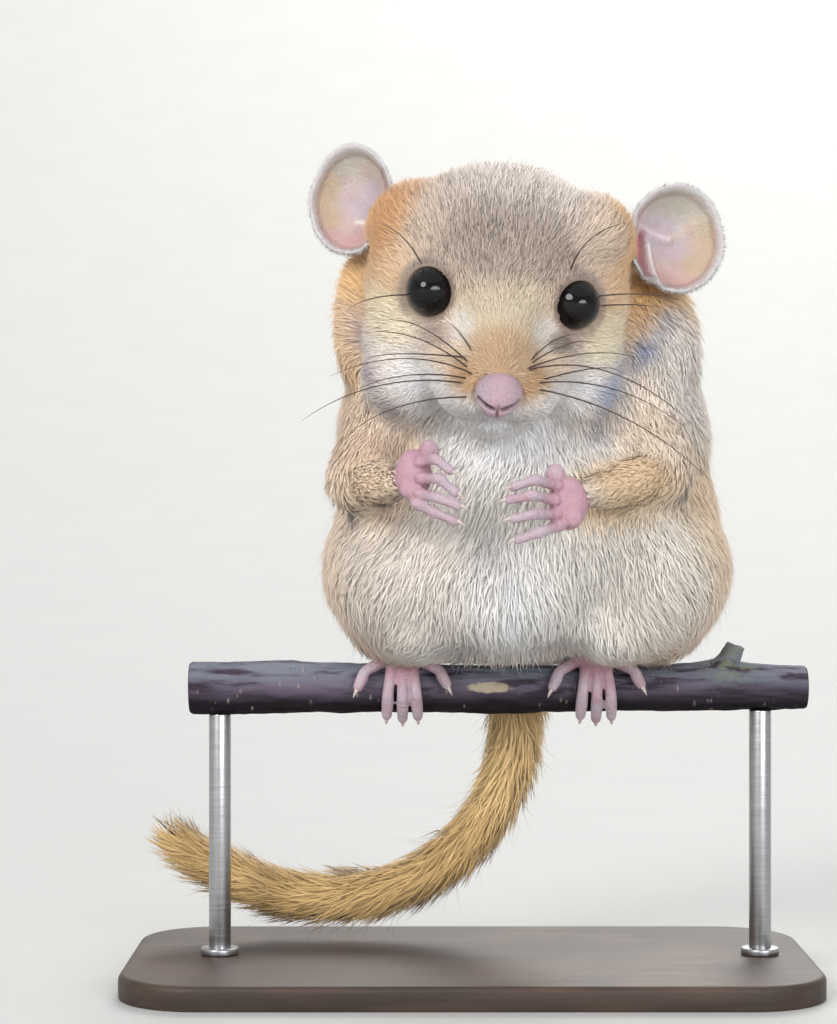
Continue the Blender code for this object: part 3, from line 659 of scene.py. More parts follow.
tail_route = smooth_route(TAIL_ROUTE, 12)
tail_places = tail_route[:, :3] * MM + np.array(SEAT)
tail_reach = tail_route[:, 3] * MM
bodies = [grown(FLESH + ["nose", "eye_left", "eye_right"], SKIN_GROWTH)]
bodies.append(swept("tail", tail_places, tail_reach * TAIL_CORE, 20, dome=4))
for name in EARS:
    side, centre, outward, up, front, half_width, half_height = ear_axes(name)
    root = centre - outward * half_width * 0.72 - up * half_height * 0.5 - front * EAR_CUP * 0.7
    deep = root - outward * 3.4 * MM - up * 1.0 * MM
    bodies.append(swept("ear_root", [root, (root + deep) / 2, deep], [1.9 * MM, 2.7 * MM, 3.6 * MM], 16))
masses = [(in_head(*middle), sizes) for middle, sizes in HEAD_MASSES]
masses += [(from_seat(*middle), sizes) for middle, sizes in SOFT_MASSES]
add = bpy.ops.mesh.primitive_ico_sphere_add
bodies += [placed(add, subdivisions=4, radius=MM, location=middle, scale=sizes) for middle, sizes in masses]
skin = melted(joined(bodies), SKIN_VOXEL)
ends = edge_ends(skin.data)
surface = eased(get_points(skin.data), ends, 10)

tail_gap = np.full(len(surface), 1.0)
for place, reach in zip(tail_places[10:], tail_reach[10:]):
    tail_gap = np.minimum(tail_gap, np.abs(np.linalg.norm(surface - place, axis=1) - reach * TAIL_CORE))
names = list(REGIONS)
gaps = np.stack([tail_gap if name == "tail" else gap_to(surface, REGIONS[name][0]) for name in names], 1)
nearness = np.exp(-(gaps - gaps.min(1, keepdims=True)) / (0.5 * MM))
nearness /= nearness.sum(1, keepdims=True)
nearness = eased(nearness, ends, 14)
trunk = nearness[:, [names.index(part) for part in ("neck", "torso", "thigh")]].sum(1, keepdims=True)
surface = surface + (eased(surface, ends, 45) - surface) * trunk
region_rows = np.array([region[1:] for region in REGIONS.values()])
depth, tuft_length, tuft_width, tuft_rise, outer_count, inner_count = (nearness @ region_rows).T

# The coat grows shorter over the face and round the eyes, and longer at the ruff and the chin. It is thin
# where the animal sits on the branch.
where = head_places(surface)
on_head = nearness[:, names.index("head")]
face = 1 - step(-11.5, 1.0, where[:, 1])
eye_gap = least_gap(surface, [eye_place(side)[0] for side in SIDES.values()])
near_eye = 1 - step(EYE_RADIUS, EYE_RADIUS + 2.4 * MM, eye_gap)
shorter = 1 - on_head * (0.52 * face + 0.3 * near_eye * (1 - 0.52 * face))
depth *= shorter
tuft_length *= shorter
tuft_width *= 1 - on_head * 0.2 * face
crowding = 1 + on_head * 0.5 * face
ruff = patch(np.abs(where * (1, 0, 0)) + where * (0, 1, 1), (13, 0.5, -5), (4.5, 6, 5.5)) * on_head
chin = patch(where, (0, -10.0, -10.2), (5.5, 5.0, 1.8)) * on_head
tuft_length *= 1 + 0.45 * ruff + 0.8 * chin
branch_gap = np.linalg.norm((surface - np.array(SEAT)) * (0, 1, 1), axis=1) / MM
depth *= 0.3 + 0.7 * step(3.2, 6.5, branch_gap)

skin.data.update()
set_points(skin.data, surface)
surface = surface - get_points(skin.data, "normal") * (depth * MM)[:, None]
surface = eased(surface, ends, 3)

# Each eye lies in a shallow hollow of the skin, and the nose pad in a seat of its own.
HOLLOW_FLOOR = 3.4 * MM
HOLLOW_REACH = 4.6 * MM
for side in SIDES.values():
    _, ahead, beside = round_eye(surface, side)
    under = np.sqrt(np.maximum((0.9 * EYE_BALL) ** 2 - beside**2, 0))
    limit = np.where(beside < 0.86 * EYE_BALL, under, (beside - 0.86 * EYE_BALL) * 0.62 + 0.35 * MM)
    excess = np.maximum(ahead - limit, 0) * (beside < HOLLOW_REACH) * (ahead > 0)
    excess = excess * (1 - step(HOLLOW_FLOOR, HOLLOW_REACH, beside))
    surface = surface - np.outer(excess, eye_place(side)[1])
where = head_places(surface) - NOSE_PLACE
reach = np.linalg.norm(where[:, ::2] / np.array(NOSE_RADII)[::2], axis=1)
pad_front = -NOSE_RADII[1] * np.sqrt(np.maximum(1 - reach**2, 0)) + 1.0 - np.maximum(reach - 0.85, 0) * 2.6
sunk = np.maximum(pad_front - where[:, 1], 0) * (reach < 1.5) * (where[:, 1] < 0.5)
surface = surface + np.outer(sunk * MM, np.array(HEAD_FRAME.to_3x3())[:, 1])
set_points(skin.data, surface)

# The line of the mouth and the groove under the nose are pressed into the skin, so many millimetres deep.
MOUTH_CURVE = [(x, -7.5 - 0.05 * x * x) for x in np.linspace(-3.8, 3.8, 15)]
MOUTH_WIDTH = 0.45 * MM
MOUTH_DEPTH = 0.45
GROOVE_CURVE = [(0, z) for z in np.linspace(-6.0, -7.5, 6)]
GROOVE_WIDTH = 0.4 * MM
GROOVE_DEPTH = 0.3
tree = BVHTree.FromPolygons(surface.tolist(), [face.vertices[:] for face in skin.data.polygons])
forward = HEAD_FRAME.to_3x3() @ Vector((0, 1, 0))


def on_face(curve):
    """The places where a curve, seen from the front of the head, meets the skin."""
    found = [tree.ray_cast(in_head(x, -30, z), forward)[0] for x, z in curve]
    return np.array([place for place in found if place])


def near_line(points, line, width):
    """1 on a line of places, falling off softly to 0."""
    return np.exp(-((least_gap(points, line) / width) ** 2))


mouth_line = on_face(MOUTH_CURVE)
groove_line = on_face(GROOVE_CURVE)
pressed = near_line(surface, mouth_line, MOUTH_WIDTH) * MOUTH_DEPTH
pressed += near_line(surface, groove_line, GROOVE_WIDTH) * GROOVE_DEPTH
surface = surface - get_points(skin.data, "normal") * (pressed * MM)[:, None]
set_points(skin.data, surface)

# The markings, as soft-edged patches of paint laid one over another, some of them painted highlight and
# painted shade, each marked so. A patch has its colour, its middle and half sizes in millimetres, and how
# strongly it covers. Patches on the head are given in the head's frame.
FLANK = paint(230, 208, 186)
BODY_PATCHES = (
    (paint(208, 158, 102), (2.4, 20, 26), (24, 15, 30), 0.9),  # back
    (paint(230, 227, 222), (1.5, -16, 20), (16, 13.5, 17), 0.95),  # chest and belly
    (paint(242, 243, 245), (0.5, -13, 6), (13, 11, 9), 0.85),  # low belly
    (paint(240, 234, 224), (12, -12, 11), (9, 8, 8), 0.75),  # front of the left thigh
    (paint(238, 226, 214), (-10, -12, 11), (8, 8, 8), 0.65),  # front of the right thigh
    (paint(238, 204, 162), (11.3, -15.3, 20.4), (6.5, 6.5, 3.6), 0.85),  # left forearm
    (paint(234, 212, 188), (14.6, -7, 26), (5, 6, 6.0), 0.75),  # left upper arm
    (paint(248, 220, 190), (-12.2, -14.8, 20.6), (5, 6.5, 4), 0.85),  # right forearm
    (paint(250, 224, 196), (-11.6, -7, 26.4), (5, 6, 7.5), 0.85),  # right upper arm
    (paint(240, 202, 160), (-15.0, -3.5, 37.0), (4.2, 6, 8), 0.75),  # right side of the neck
    (paint(240, 206, 160), (14.5, -3.0, 41.0), (5.5, 5, 3.6), 0.8),  # under the left ear
    (paint(240, 212, 178), (20.5, -3.0, 20), (5, 9, 9), 0.6),  # left flank
    (paint(233, 231, 231), (18.5, -5, 31), (5, 8, 7.0), 0.62),  # painted highlight on the left shoulder
    (paint(200, 172, 150), (-13.5, -11, 24.2), (4.5, 5, 1.6), 0.5),  # shade over the right elbow
)
# Strokes of colour laid over the patches, each from one place to another, with its width and its cover.
STROKES = (
    (paint(158, 172, 198), (16.4, -4.4, 38.4), (13.4, -7.2, 33.8), 1.2, 0.55),  # painted shade line along the edge of the left cheek
    (paint(150, 164, 194), (13.4, -7.2, 33.8), (9.6, -13.6, 28.8), 1.3, 0.75),
    (paint(164, 174, 196), (9.6, -13.6, 28.8), (8.9, -11.6, 25.4), 1.2, 0.6),
    (paint(196, 174, 172), (-13.9, -6.5, 38.2), (-13.6, -7.6, 34.8), 0.9, 0.6),  # painted shade line along the edge of the right cheek
    (paint(174, 158, 164), (-13.6, -7.6, 34.8), (-12.7, -13.6, 30.6), 1.0, 0.65),
    (paint(168, 156, 166), (-12.7, -13.6, 30.6), (-9.6, -13.2, 26.6), 1.1, 0.7),
    (paint(206, 156, 114), (-9.4, -10.0, 48.4), (-11.6, -11.0, 43.4), 2.3, 0.85),  # orange by the right ear
    (paint(246, 200, 142), (-14.8, -5.2, 41.4), (-13.6, -6.5, 38.6), 1.8, 0.8),
    (paint(224, 172, 108), (11.0, -12.5, 45.7), (13.2, -7.0, 40.4), 2.1, 0.8),  # orange by the left ear
    (paint(252, 206, 142), (13.6, -4.6, 39.8), (16.8, -4.4, 39.6), 1.4, 0.8),
    (paint(186, 164, 150), (-16.5, -5.0, 29.0), (-10.5, -12.0, 24.6), 1.1, 0.5),  # shade along the arms
    (paint(196, 178, 158), (9.5, -16.0, 25.0), (17.5, -9.0, 27.0), 0.9, 0.45),
    (paint(250, 214, 156), (2.1, 12.6, 2.0), (0.6, 10.4, -9.0), 4.2, 0.85),  # painted light on the root of the tail, in the branch's shade
)
TAIL_GOLD = paint(210, 176, 122)
EYE_RING = paint(134, 122, 120)
MOUTH_SHADE_GREY = paint(98, 92, 106)
GROOVE_SHADE_GREY = paint(70, 60, 72)
LINE_WIDTH = 0.3 * MM
HEAD_GROUND = paint(230, 206, 182)
# A patch on the head also says whether it lies on both sides.
HEAD_PATCHES = (
    (paint(216, 198, 184), (0, 3, 9.5), (11.5, 12, 8.5), 0.95, False),  # crown
    (paint(222, 214, 210), (1.0, 2.0, 10.6), (6.5, 8, 4.5), 0.6, False),  # grey of the crown
    (paint(172, 158, 148), (0, -5.6, 6.0), (6.8, 5, 4.4), 0.85, False),  # forehead
    (paint(230, 174, 112), (12.2, 3.5, 3.6), (4.2, 5.5, 6.0), 0.85, True),  # root of the ear
    (paint(232, 194, 152), (11.2, -1.0, 0.5), (4.6, 5, 4), 0.75, True),  # temple
    (paint(216, 202, 178), (1.8, -10.6, 2.2), (3.2, 3.4, 2.6), 0.85, True),  # pale between the eyes
    (paint(240, 236, 232), (3.9, -10.6, 0.3), (1.4, 2.4, 1.5), 0.6, True),  # white beside the bridge
    (paint(238, 229, 222), (8.4, -6.6, -5.6), (5.2, 6.0, 4.8), 0.95, True),  # cheek
    (paint(248, 234, 202), (9.6, -4.5, -1.6), (3.6, 4.5, 2.2), 0.75, True),  # yellow under the temple
    (paint(196, 166, 134), (0, -13.2, -0.8), (3.0, 3.0, 2.5), 0.9, False),  # bridge of the nose
    (paint(202, 164, 126), (2.9, -13.4, -3.3), (1.35, 2.2, 1.5), 0.9, True),  # beside the nose
    (paint(245, 246, 249), (0, -10.6, -9.0), (8.6, 6.6, 4.2), 0.97, False),  # lips and chin
    (paint(242, 243, 246), (5.3, -10.2, -5.7), (4.2, 4.4, 2.3), 0.92, True),  # white of the muzzle
    (paint(150, 134, 130), (5.9, -9.3, -0.9), (2.0, 2.4, 0.9), 0.55, True),  # shade under the eye
    (paint(104, 92, 88), (5.3, -9.8, -0.5), (1.4, 2.2, 0.8), 0.6, False),  # deeper painted shade under the left eye
)


def lay(colours, colour, cover):
    return colours + (colour - colours) * cover[:, None]


def layered(ground, layers):
    """A ground colour with others laid over it, each with how strongly it covers each point."""
    colours = np.tile(ground, (len(layers[0][1]), 1))
    for colour, cover in layers:
        colours = lay(colours, colour, cover)
    return colours


def near_stroke(places, start, end, width):
    """1 along a straight stroke, falling off softly to 0."""
    way = np.array(end, float) - np.array(start)
    share = np.clip((places - np.array(start)) @ way / (way @ way), 0, 1)
    gap = np.linalg.norm(places - np.array(start) - share[:, None] * way, axis=1)
    return np.exp(-((gap / width) ** 2))


def tail_share(points):
    """1 on the tail, 0 on the rest of the body."""
    return 1 - step(3.4 * MM, 5.0 * MM, least_gap(points, tail_places[14::3]))


def markings_and_painted_light(points):
    """The colour of skin and coat at each point."""
    body = (points - np.array(SEAT)) / MM
    head = head_places(points)
    colours = np.tile(FLANK, (len(points), 1))
    for colour, middle, sizes, cover in BODY_PATCHES:
        colours = lay(colours, colour, patch(body, middle, sizes) * cover)
    colours = lay(colours, TAIL_GOLD, tail_share(points))
    colours = lay(colours, HEAD_GROUND, patch(head, (0, 0.5, 0), (15, 17, 12.5), 0.12))
    for colour, middle, sizes, cover, twice in HEAD_PATCHES:
        for side in (1, -1) if twice else (1,):
            beside = (middle[0] * side, middle[1], middle[2])
            colours = lay(colours, colour, patch(head, beside, sizes) * cover)
    for colour, start, end, width, cover in STROKES:
        colours = lay(colours, colour, near_stroke(body, start, end, width) * cover)
    for side in SIDES.values():
        gap = round_eye(points, side)[0] / MM
        colours = lay(colours, EYE_RING, (1 - step(2.5, 3.4, gap)) * 0.75)
    # Painted shade along the line of the mouth and in the groove under the nose.
    colours = lay(colours, MOUTH_SHADE_GREY, near_line(points, mouth_line, LINE_WIDTH) * 0.8)
    colours = lay(colours, GROOVE_SHADE_GREY, near_line(points, groove_line, LINE_WIDTH) * 0.9)
    shade = 1 + 0.03 * ripple(points, 9 * MM, 3) + 0.03 * ripple(points, 3 * MM, 4)
    return np.clip(colours * shade[:, None], 0.01, 0.95)


def tint(mesh, colours):
    """Keep a colour at each point of a mesh, for its material to read."""
    layer = mesh.attributes.new("tint", "FLOAT_COLOR", "POINT")
    opaque = np.hstack([colours, np.ones((len(colours), 1))])
    layer.data.foreach_set("color", opaque.astype(np.float32).ravel())


def tinted(name, **fixed):
    """A finish whose colour starts from the tint kept at each point."""
    made = Finish(name, **fixed)
    return made, made.node("Attribute", {"attribute_name": "tint"}, {}, "Color")


HIDE_SHADE = 0.92
MOTTLE_SIZE = 0.5 * MM
MOTTLE_RELIEF = 0.1 * MM

tint(skin.data, markings_and_painted_light(surface) * HIDE_SHADE)
hide, hide_tint = tinted("hide", Roughness=0.8, Specular_IOR_Level=0.2)
mottle = hide.noise(MOTTLE_SIZE)
mottled_hide = hide.mixed(mottle, paint(190, 168, 154), paint(245, 236, 226))
hide.use(Base_Color=hide.mixed(0.5, hide_tint, mottled_hide, "MULTIPLY"))
hide.bump(mottle, MOTTLE_RELIEF)
finished(skin, "skin", hide.material, "orange_fur", *FLESH, "tail_base", "tail_middle", "tail_tip")


# Eyes
# Each eye is a glossy black ball, faintly brown where light enters it. Both lids close on it in a thin dark
# bare rim, drawn out to a point in the corner next to the nose.
CORNEA_RISE = 0.12 * MM
LID_OFFSET = 0.32 * MM
LID_RADIUS = 2.36 * MM
LID_THICKNESS = 0.22 * MM
EYE_CORNER = (3.0, -10.5, -2.6)
CORNER_LENGTH = 0.6 * MM
CORNER_SINK = 0.1 * MM
EYE_CLOUD = 1.2 * MM
RIM_PORES = 0.16 * MM
RIM_RELIEF = 0.03 * MM

eyeball = Finish("eyeball", Roughness=0.05, Specular_IOR_Level=0.32)
depths = eyeball.noise(EYE_CLOUD)
eyeball.use(Base_Color=eyeball.mixed(depths, paint(5, 4, 5), paint(16, 11, 11)))
rim_skin = Finish("eye_rim", Roughness=0.35, Specular_IOR_Level=0.5)
pores_of_rim = rim_skin.noise(RIM_PORES)
rim_skin.use(Base_Color=rim_skin.mixed(pores_of_rim, paint(30, 22, 24), paint(62, 48, 48)))
rim_skin.bump(pores_of_rim, RIM_RELIEF)

for side_name, side in SIDES.items():
    centre, axis = (Vector(value) for value in eye_place(side))
    turn = axis.to_track_quat("Z", "Y").to_euler()
    eye = placed(
        bpy.ops.mesh.primitive_uv_sphere_add, segments=64, ring_count=40, radius=EYE_BALL, location=centre,
        rotation=turn,
    )
    globe = get_points(eye.data)
    away = (globe - np.array(centre)) @ np.array(axis) / EYE_BALL
    globe += np.outer(step(0.6, 1.0, away) * CORNEA_RISE, np.array(axis))
    set_points(eye.data, globe)
    eye.data.shade_smooth()
    finished(eye, "eye_ball_" + side_name, eyeball.material, "black_eye", "eye_" + side_name)

    lids = placed(
        bpy.ops.mesh.primitive_torus_add, major_segments=72, minor_segments=14, major_radius=LID_RADIUS,
        minor_radius=LID_THICKNESS, location=centre + axis * LID_OFFSET, rotation=turn,
    )
    ring = get_points(lids.data)
    toward_nose = in_head(side * EYE_CORNER[0], *EYE_CORNER[1:]) - centre
    toward_nose = np.array((toward_nose - axis * toward_nose.dot(axis)).normalized())
    corner = step(0.82, 1.05, (ring - np.array(centre)) @ toward_nose / LID_RADIUS) ** 2
    ring += np.outer(corner * CORNER_LENGTH, toward_nose)
    ring -= np.outer(corner * CORNER_SINK, np.array(axis))
    set_points(lids.data, ring)
    lids.data.shade_smooth()
    finished(lids, "lids_" + side_name, rim_skin.material, "black_eye")


# Nose
# The nose pad is bare, moist, finely grained skin, lilac-pink and greyer on top. It narrows downwards to a
# cleft and carries two comma-shaped nostrils.

# The nostril runs through three places. They and the sizes of nostril and cleft are in millimetres, in the
# head's frame. The flare and the pinch are shares.
NOSTRIL = ((0.5, -1.62, -0.85), (1.15, -1.28, -0.55), (1.75, -0.78, -0.15))
NOSTRIL_REACH = 0.24
NOSTRIL_DEPTH = 0.5
CLEFT_WIDTH = 0.16
CLEFT_DEPTH = 0.35
PAD_FLARE = 0.22
NOSTRIL_PINCH = 0.175
WRINKLE_SPACING = 0.3 * MM
WRINKLE_RELIEF = 0.16 * MM
FLUSH_SIZE = 1.4 * MM

bare, bare_tint = tinted(
    "bare_skin", Specular_IOR_Level=0.45, Subsurface_Weight=0.15, Subsurface_Scale=0.6 * MM,
)
bare.shader.inputs["Subsurface Radius"].default_value = (1.0, 0.4, 0.25)
wrinkles = bare.noise(WRINKLE_SPACING, (1, 1, 1), 5)
flush = bare.noise(FLUSH_SIZE)
bare.use(Base_Color=bare.mixed(flush.over(0.4, 0.7) * 0.22, bare_tint, paint(192, 140, 142)))
bare.use(Roughness=0.38 + wrinkles * 0.25)
bare.bump(wrinkles, WRINKLE_RELIEF)

nose = placed(bpy.ops.mesh.primitive_uv_sphere_add, segments=120, ring_count=80, radius=1)
pad = get_points(nose.data)
pad[:, 0] *= 1 + PAD_FLARE * pad[:, 2]
local = pad * np.array(NOSE_RADII)
cleft = np.exp(-((local[:, 0] / CLEFT_WIDTH) ** 2)) * step(0.2, -0.9, local[:, 2]) * (local[:, 1] < 0)
local[:, 1] += CLEFT_DEPTH * cleft
open_share = np.zeros(len(local))
for side in SIDES.values():
    for x, y, z in smooth_route(NOSTRIL, 8):
        gap = np.linalg.norm(local - np.array([side * x, y, z]), axis=1)
        open_share = np.maximum(open_share, np.exp(-((gap / NOSTRIL_REACH) ** 2)))
local[:, 1] += NOSTRIL_DEPTH * open_share
local *= 1 - NOSTRIL_PINCH * open_share[:, None]
upward = local[:, 2] / NOSE_RADII[2]
cleft_line = np.exp(-((local[:, 0] / 0.14) ** 2)) * step(0.1, -0.7, upward)
set_points(nose.data, [in_head(*row) for row in local + np.array(NOSE_PLACE)])
tint(nose.data, layered(paint(180, 162, 174), [
    (paint(146, 132, 140), step(0.0, 0.8, upward) * 0.85),  # greyer top
    (paint(196, 156, 166), np.exp(-(local[:, 0] ** 2)) * 0.4),  # pinker middle
    (paint(172, 146, 160), step(-0.45, -0.95, upward) * 0.5),  # lower edge
    (paint(66, 42, 50), np.clip(open_share * 1.3, 0, 0.9)),  # nostrils, painted dark as the shade inside them
    # painted shade along the cleft
    (paint(120, 84, 94), cleft_line * 0.8),
]))
nose.data.shade_smooth()
finished(nose, "nose_pad", bare.material, "pink_skin", "nose")


# Ears
# Each ear is a thin cup of bare skin, rolled over at its pale rim, with a ridge and a creased fold low down
# in it next to the head. Fine down covers its back and edges, and grows with the rest of the coat.
EAR_WALL = 0.22 * MM
EAR_RIM = 0.26 * MM
EAR_RINGS = 34
EAR_AROUND = 110
DOWN_COUNT = 44
BACK_DOWN_COUNT = 18
# A fold runs between two places in the ear, given outwards and upwards as shares of its half sizes. It has
# a width, as such a share, a rise in millimetres, a colour and how strongly that covers.
# The pale colours on the raised ridges and folds are painted highlight, and the dark colours in the sunken
# creases painted shade.
EAR_FOLDS = {
    "ear_left": (
        ((-0.85, 0.02), (-0.02, 0.1), 0.09, 0.5, paint(214, 198, 206), 0.75),
        ((-0.64, -0.06), (-0.34, -0.9), 0.075, -0.7, paint(172, 84, 104), 0.9),
        ((-0.42, -0.2), (-0.12, -0.92), 0.1, 0.8, paint(228, 216, 220), 0.9),
        ((0.1, 0.2), (0.45, 0.6), 0.14, 0.2, paint(196, 186, 158), 0.4),
    ),
    "ear_right": (
        ((0.02, -0.3), (-0.55, -0.38), 0.09, 0.5, paint(230, 220, 220), 0.8),
        ((-0.74, 0.5), (-0.9, -0.2), 0.07, -0.5, paint(150, 108, 96), 0.7),
        ((-0.34, -0.4), (-0.4, -0.86), 0.1, 0.6, paint(226, 206, 206), 0.75),
        ((0.1, 0.25), (-0.2, 0.62), 0.16, 0.22, paint(186, 170, 156), 0.5),
    ),
}


def edited(piece, operator, **settings):
    """Run one edit-mode operator on all of a piece."""
    pick([piece])
    bpy.ops.object.mode_set(mode="EDIT")
    bpy.ops.mesh.select_all(action="SELECT")
    operator(**settings)
    bpy.ops.object.mode_set(mode="OBJECT")


ears = {}
for name in EARS:
    side, centre, outward, up, front, half_width, half_height = ear_axes(name)
    around, rings = EAR_AROUND, EAR_RINGS
    turn, ring = np.meshgrid(np.arange(around) * math.tau / around, np.arange(1, rings + 1) / rings)
    turn, share = turn.ravel(), ring.ravel() ** 0.85
    across, upward = share * np.cos(turn), share * np.sin(turn)
    wavy = 1 + 0.012 * np.sin(turn * 5 + 1) + 0.008 * np.sin(turn * 9)
    taller = 1 + 0.06 * np.sin(turn)
    flat = np.outer(across * half_width * wavy, outward) + np.outer(upward * taller * half_height, up)
    cup = -EAR_CUP * (1 - share**2.4)
    roll = EAR_RIM * np.exp(-(((share - 0.95) / 0.045) ** 2))
    lift = np.zeros(len(share))
    spot = np.stack([across, upward], 1)
    for start, end, width, rise, *_ in EAR_FOLDS[name]:
        lift += rise * MM * near_stroke(spot, start, end, width)
    wall = EAR_WALL * (1 - 0.5 * step(0.9, 1.0, share))
    inside = np.array(centre) + flat + np.outer(cup + roll + lift + wall * 0.5, front)
    behind = cup + roll * 0.2 + lift * 0.5 - wall * 1.5 - 0.05 * MM
    outside = np.array(centre) + flat * 1.01 + np.outer(behind, front)
    middle_in = centre - front * EAR_CUP
    middle_out = middle_in - front * (EAR_WALL + 0.3 * MM)
    points = np.vstack([inside, outside, [middle_in], [middle_out]])
    count = around * rings
    edge = count - around
    faces = []
    for sheet in (0, count):
        faces += between_rings(rings, around, sheet, turned=True)
        faces += [(2 * count + (sheet > 0), sheet + j, sheet + (j + 1) % around) for j in range(around)]
    for j in range(around):
        k = (j + 1) % around
        faces.append((edge + j, count + edge + j, count + edge + k, edge + k))
    ear = mesh_piece(name, points, faces)
    edited(ear, bpy.ops.mesh.normals_make_consistent, inside=False)

    mottled = 0.5 + 0.3 * ripple(inside, 2.2 * MM, 9) + 0.3 * ripple(inside, 0.8 * MM, 10)
    layers = [
        (paint(178, 178, 164), step(0.1, 0.7, upward) * 0.85),  # grey-green top
        (paint(184, 164, 118), patch(spot, (0.62, 0.05), (0.3, 0.55)) * 0.6),  # yellow outer side
        (paint(184, 172, 184), patch(spot, (-0.15, 0.1), (0.6, 0.36)) * 0.8),  # lilac middle
        (paint(202, 158, 154), step(-0.2, -0.8, upward) * 0.7),  # pink bottom
        (paint(142, 116, 122), np.clip(mottled, 0, 1) * 0.22),
    ]
    # Painted highlight along the ridges and folds, painted shade along the creases.
    for start, end, width, rise, colour, cover in EAR_FOLDS[name]:
        layers.append((colour, near_stroke(spot, start, end, width * 0.9) * cover))
    layers.append((paint(128, 104, 96), np.exp(-(((share - 0.86) / 0.03) ** 2)) * 0.5))  # line inside the rim
    layers.append((paint(198, 194, 195), step(0.88, 0.94, share)))  # rim
    colours = layered(paint(194, 176, 170), layers)
    back = layered(paint(206, 170, 146), [(paint(200, 192, 194), step(0.86, 0.98, share))])
    tint(ear.data, np.vstack([colours, back, colours[:1], back[:1]]))
    finished(ear, name.replace("ear", "ear_cup"), bare.material, "pink_skin", name)

    radial = np.outer(np.cos(turn), outward) * half_width + np.outer(np.sin(turn), up) * half_height
    at_edge = step(0.84, 0.93, share)
    back_down = BACK_DOWN_COUNT + (DOWN_COUNT - BACK_DOWN_COUNT) * at_edge
    down_count = np.concatenate([DOWN_COUNT * at_edge, back_down, [0, BACK_DOWN_COUNT]])
    down_way = np.vstack([radial, radial, [up * half_width], [up * half_width]]) - np.array(front) * MM
    white = np.tile(paint(210, 208, 210), (len(share), 1))
    down_colour = np.vstack([white, lay(back * 1.1, white, at_edge), white[:1], back[:1]])
    ears[name] = (ear, down_count, down_way, down_colour)


# Hands and feet
# Both hands are raised and half closed, and both feet grip the branch. They are bare pink skin over small
# pads, paler along the digits, with knuckles that show. Each digit ends in a fine pale claw.

# Places are in millimetres from the seat. A finger has its knuckle, its bend and its tip. A foot has its
# place along the branch, and a toe its spread, the angles round the branch at which it starts and ends,
# and how far it bows out.
HANDS = {
    "left": {
        "palm": (5.6, -21.3, 18.4), "sizes": (1.8, 1.4, 2.5),
        "thumb": (4.4, -21.6, 21.0), "wrist": (8.6, -18.6, 19.7),
        "fingers": (
            ((4.5, -22.0, 20.0), (2.4, -24.0, 20.5), (0.5, -23.9, 19.9)),
            ((4.3, -22.2, 18.7), (2.2, -24.3, 19.1), (0.1, -24.2, 18.7)),
            ((4.4, -22.2, 17.4), (2.4, -24.3, 17.4), (0.5, -24.2, 17.0)),
            ((4.8, -22.0, 16.4), (3.0, -24.0, 15.8), (0.9, -23.9, 15.1)),
        ),
    },
    "right": {
        "palm": (-8.6, -20.9, 21.0), "sizes": (1.7, 1.4, 2.4),
        "thumb": (-7.2, -21.3, 23.2), "wrist": (-10.6, -17.6, 20.3),
        "fingers": (
            ((-8.0, -21.9, 22.2), (-6.6, -23.4, 22.4), (-5.3, -23.6, 21.4)),
            ((-7.9, -22.1, 20.7), (-6.3, -23.7, 20.6), (-4.8, -23.9, 19.4)),
            ((-8.0, -22.1, 19.3), (-6.4, -23.6, 18.9), (-4.6, -23.9, 18.2)),
            ((-8.3, -21.9, 18.4), (-6.8, -23.3, 17.6), (-4.9, -23.6, 16.8)),
        ),
    },
}
FEET = {"left": 9.4, "right": -9.8}
TOES = (
    (-4.3, 55, 6, 1.6), (-2.0, 50, -48, 0.4), (0.1, 52, -58, 0.0), (2.1, 50, -50, 0.4), (4.4, 55, 10, 1.6),
)
TOE_REACH = 3.4
PAW_VOXEL = 0.13 * MM
PALM_PINK = paint(178, 140, 153)
DIGIT_LILAC = paint(178, 164, 174)
KNUCKLE_PINK = paint(160, 116, 130)
KNUCKLE_SIZE = 1.4 * MM
HORN_STREAK = 0.2 * MM

horn = Finish("claw_horn", Specular_IOR_Level=0.5)
streaks = horn.noise(HORN_STREAK)
horn.use(Base_Color=horn.mixed(streaks, paint(176, 160, 150), paint(212, 202, 194)))
horn.use(Roughness=0.2 + streaks * 0.2)


def ball(place, sizes):
    """A rounded mass of flesh, placed from the seat and sized in millimetres."""
    return placed(
        bpy.ops.mesh.primitive_uv_sphere_add, segments=32, ring_count=20, radius=MM,
        location=from_seat(*place), scale=sizes,
    )


def digit(stations):
    """A finger or toe through stations of place from the seat and radius, in millimetres."""
    return tube("digit", smooth_route(stations, 8), 16, dome=4)


def claw(tip, way, droop, length, radius):
    """A fine hooked claw from the tip of a digit."""
    share = np.linspace(0, 1, 9)[:, None]
    bent = np.array(tip) + np.array(way) * share * length + np.array(droop) * share**2 * length * 0.5
    start = bent[:1] - np.array(way) * 0.25
    radii = np.append(radius, radius * (1 - share[:, 0] ** 1.6 * 0.93))
    return tube("claw", np.column_stack([np.vstack([start, bent]), radii]), 12)


def paw(name, masses, claws, middle, node):
    """Melt a paw's masses into one skin, and keep its claws as a piece of their own."""
    piece = melted(joined(masses), PAW_VOXEL)
    points = eased(get_points(piece.data), edge_ends(piece.data), 3)
    set_points(piece.data, points)
    reach = np.linalg.norm((points - np.array(from_seat(*middle))) / MM, axis=1)
    knuckles = np.clip(ripple(points, KNUCKLE_SIZE, 8), 0, 1)
    layers = [(DIGIT_LILAC, step(1.8, 4.2, reach) * 0.9), (KNUCKLE_PINK, knuckles * 0.4)]
    tint(piece.data, layered(PALM_PINK, layers))
    finished(piece, name, bare.material, "pink_skin", node)
    finished(joined(claws), name + "_claws", horn.material, "pink_skin")


def on_branch(x, angle, lift=0.0):
    """A place on the branch's bark, at an angle round it from the front, lifted off it by so much."""
    turn = math.radians(angle)
    out = TOE_REACH + lift
    return np.array([x, -out * math.cos(turn), out * math.sin(turn)])


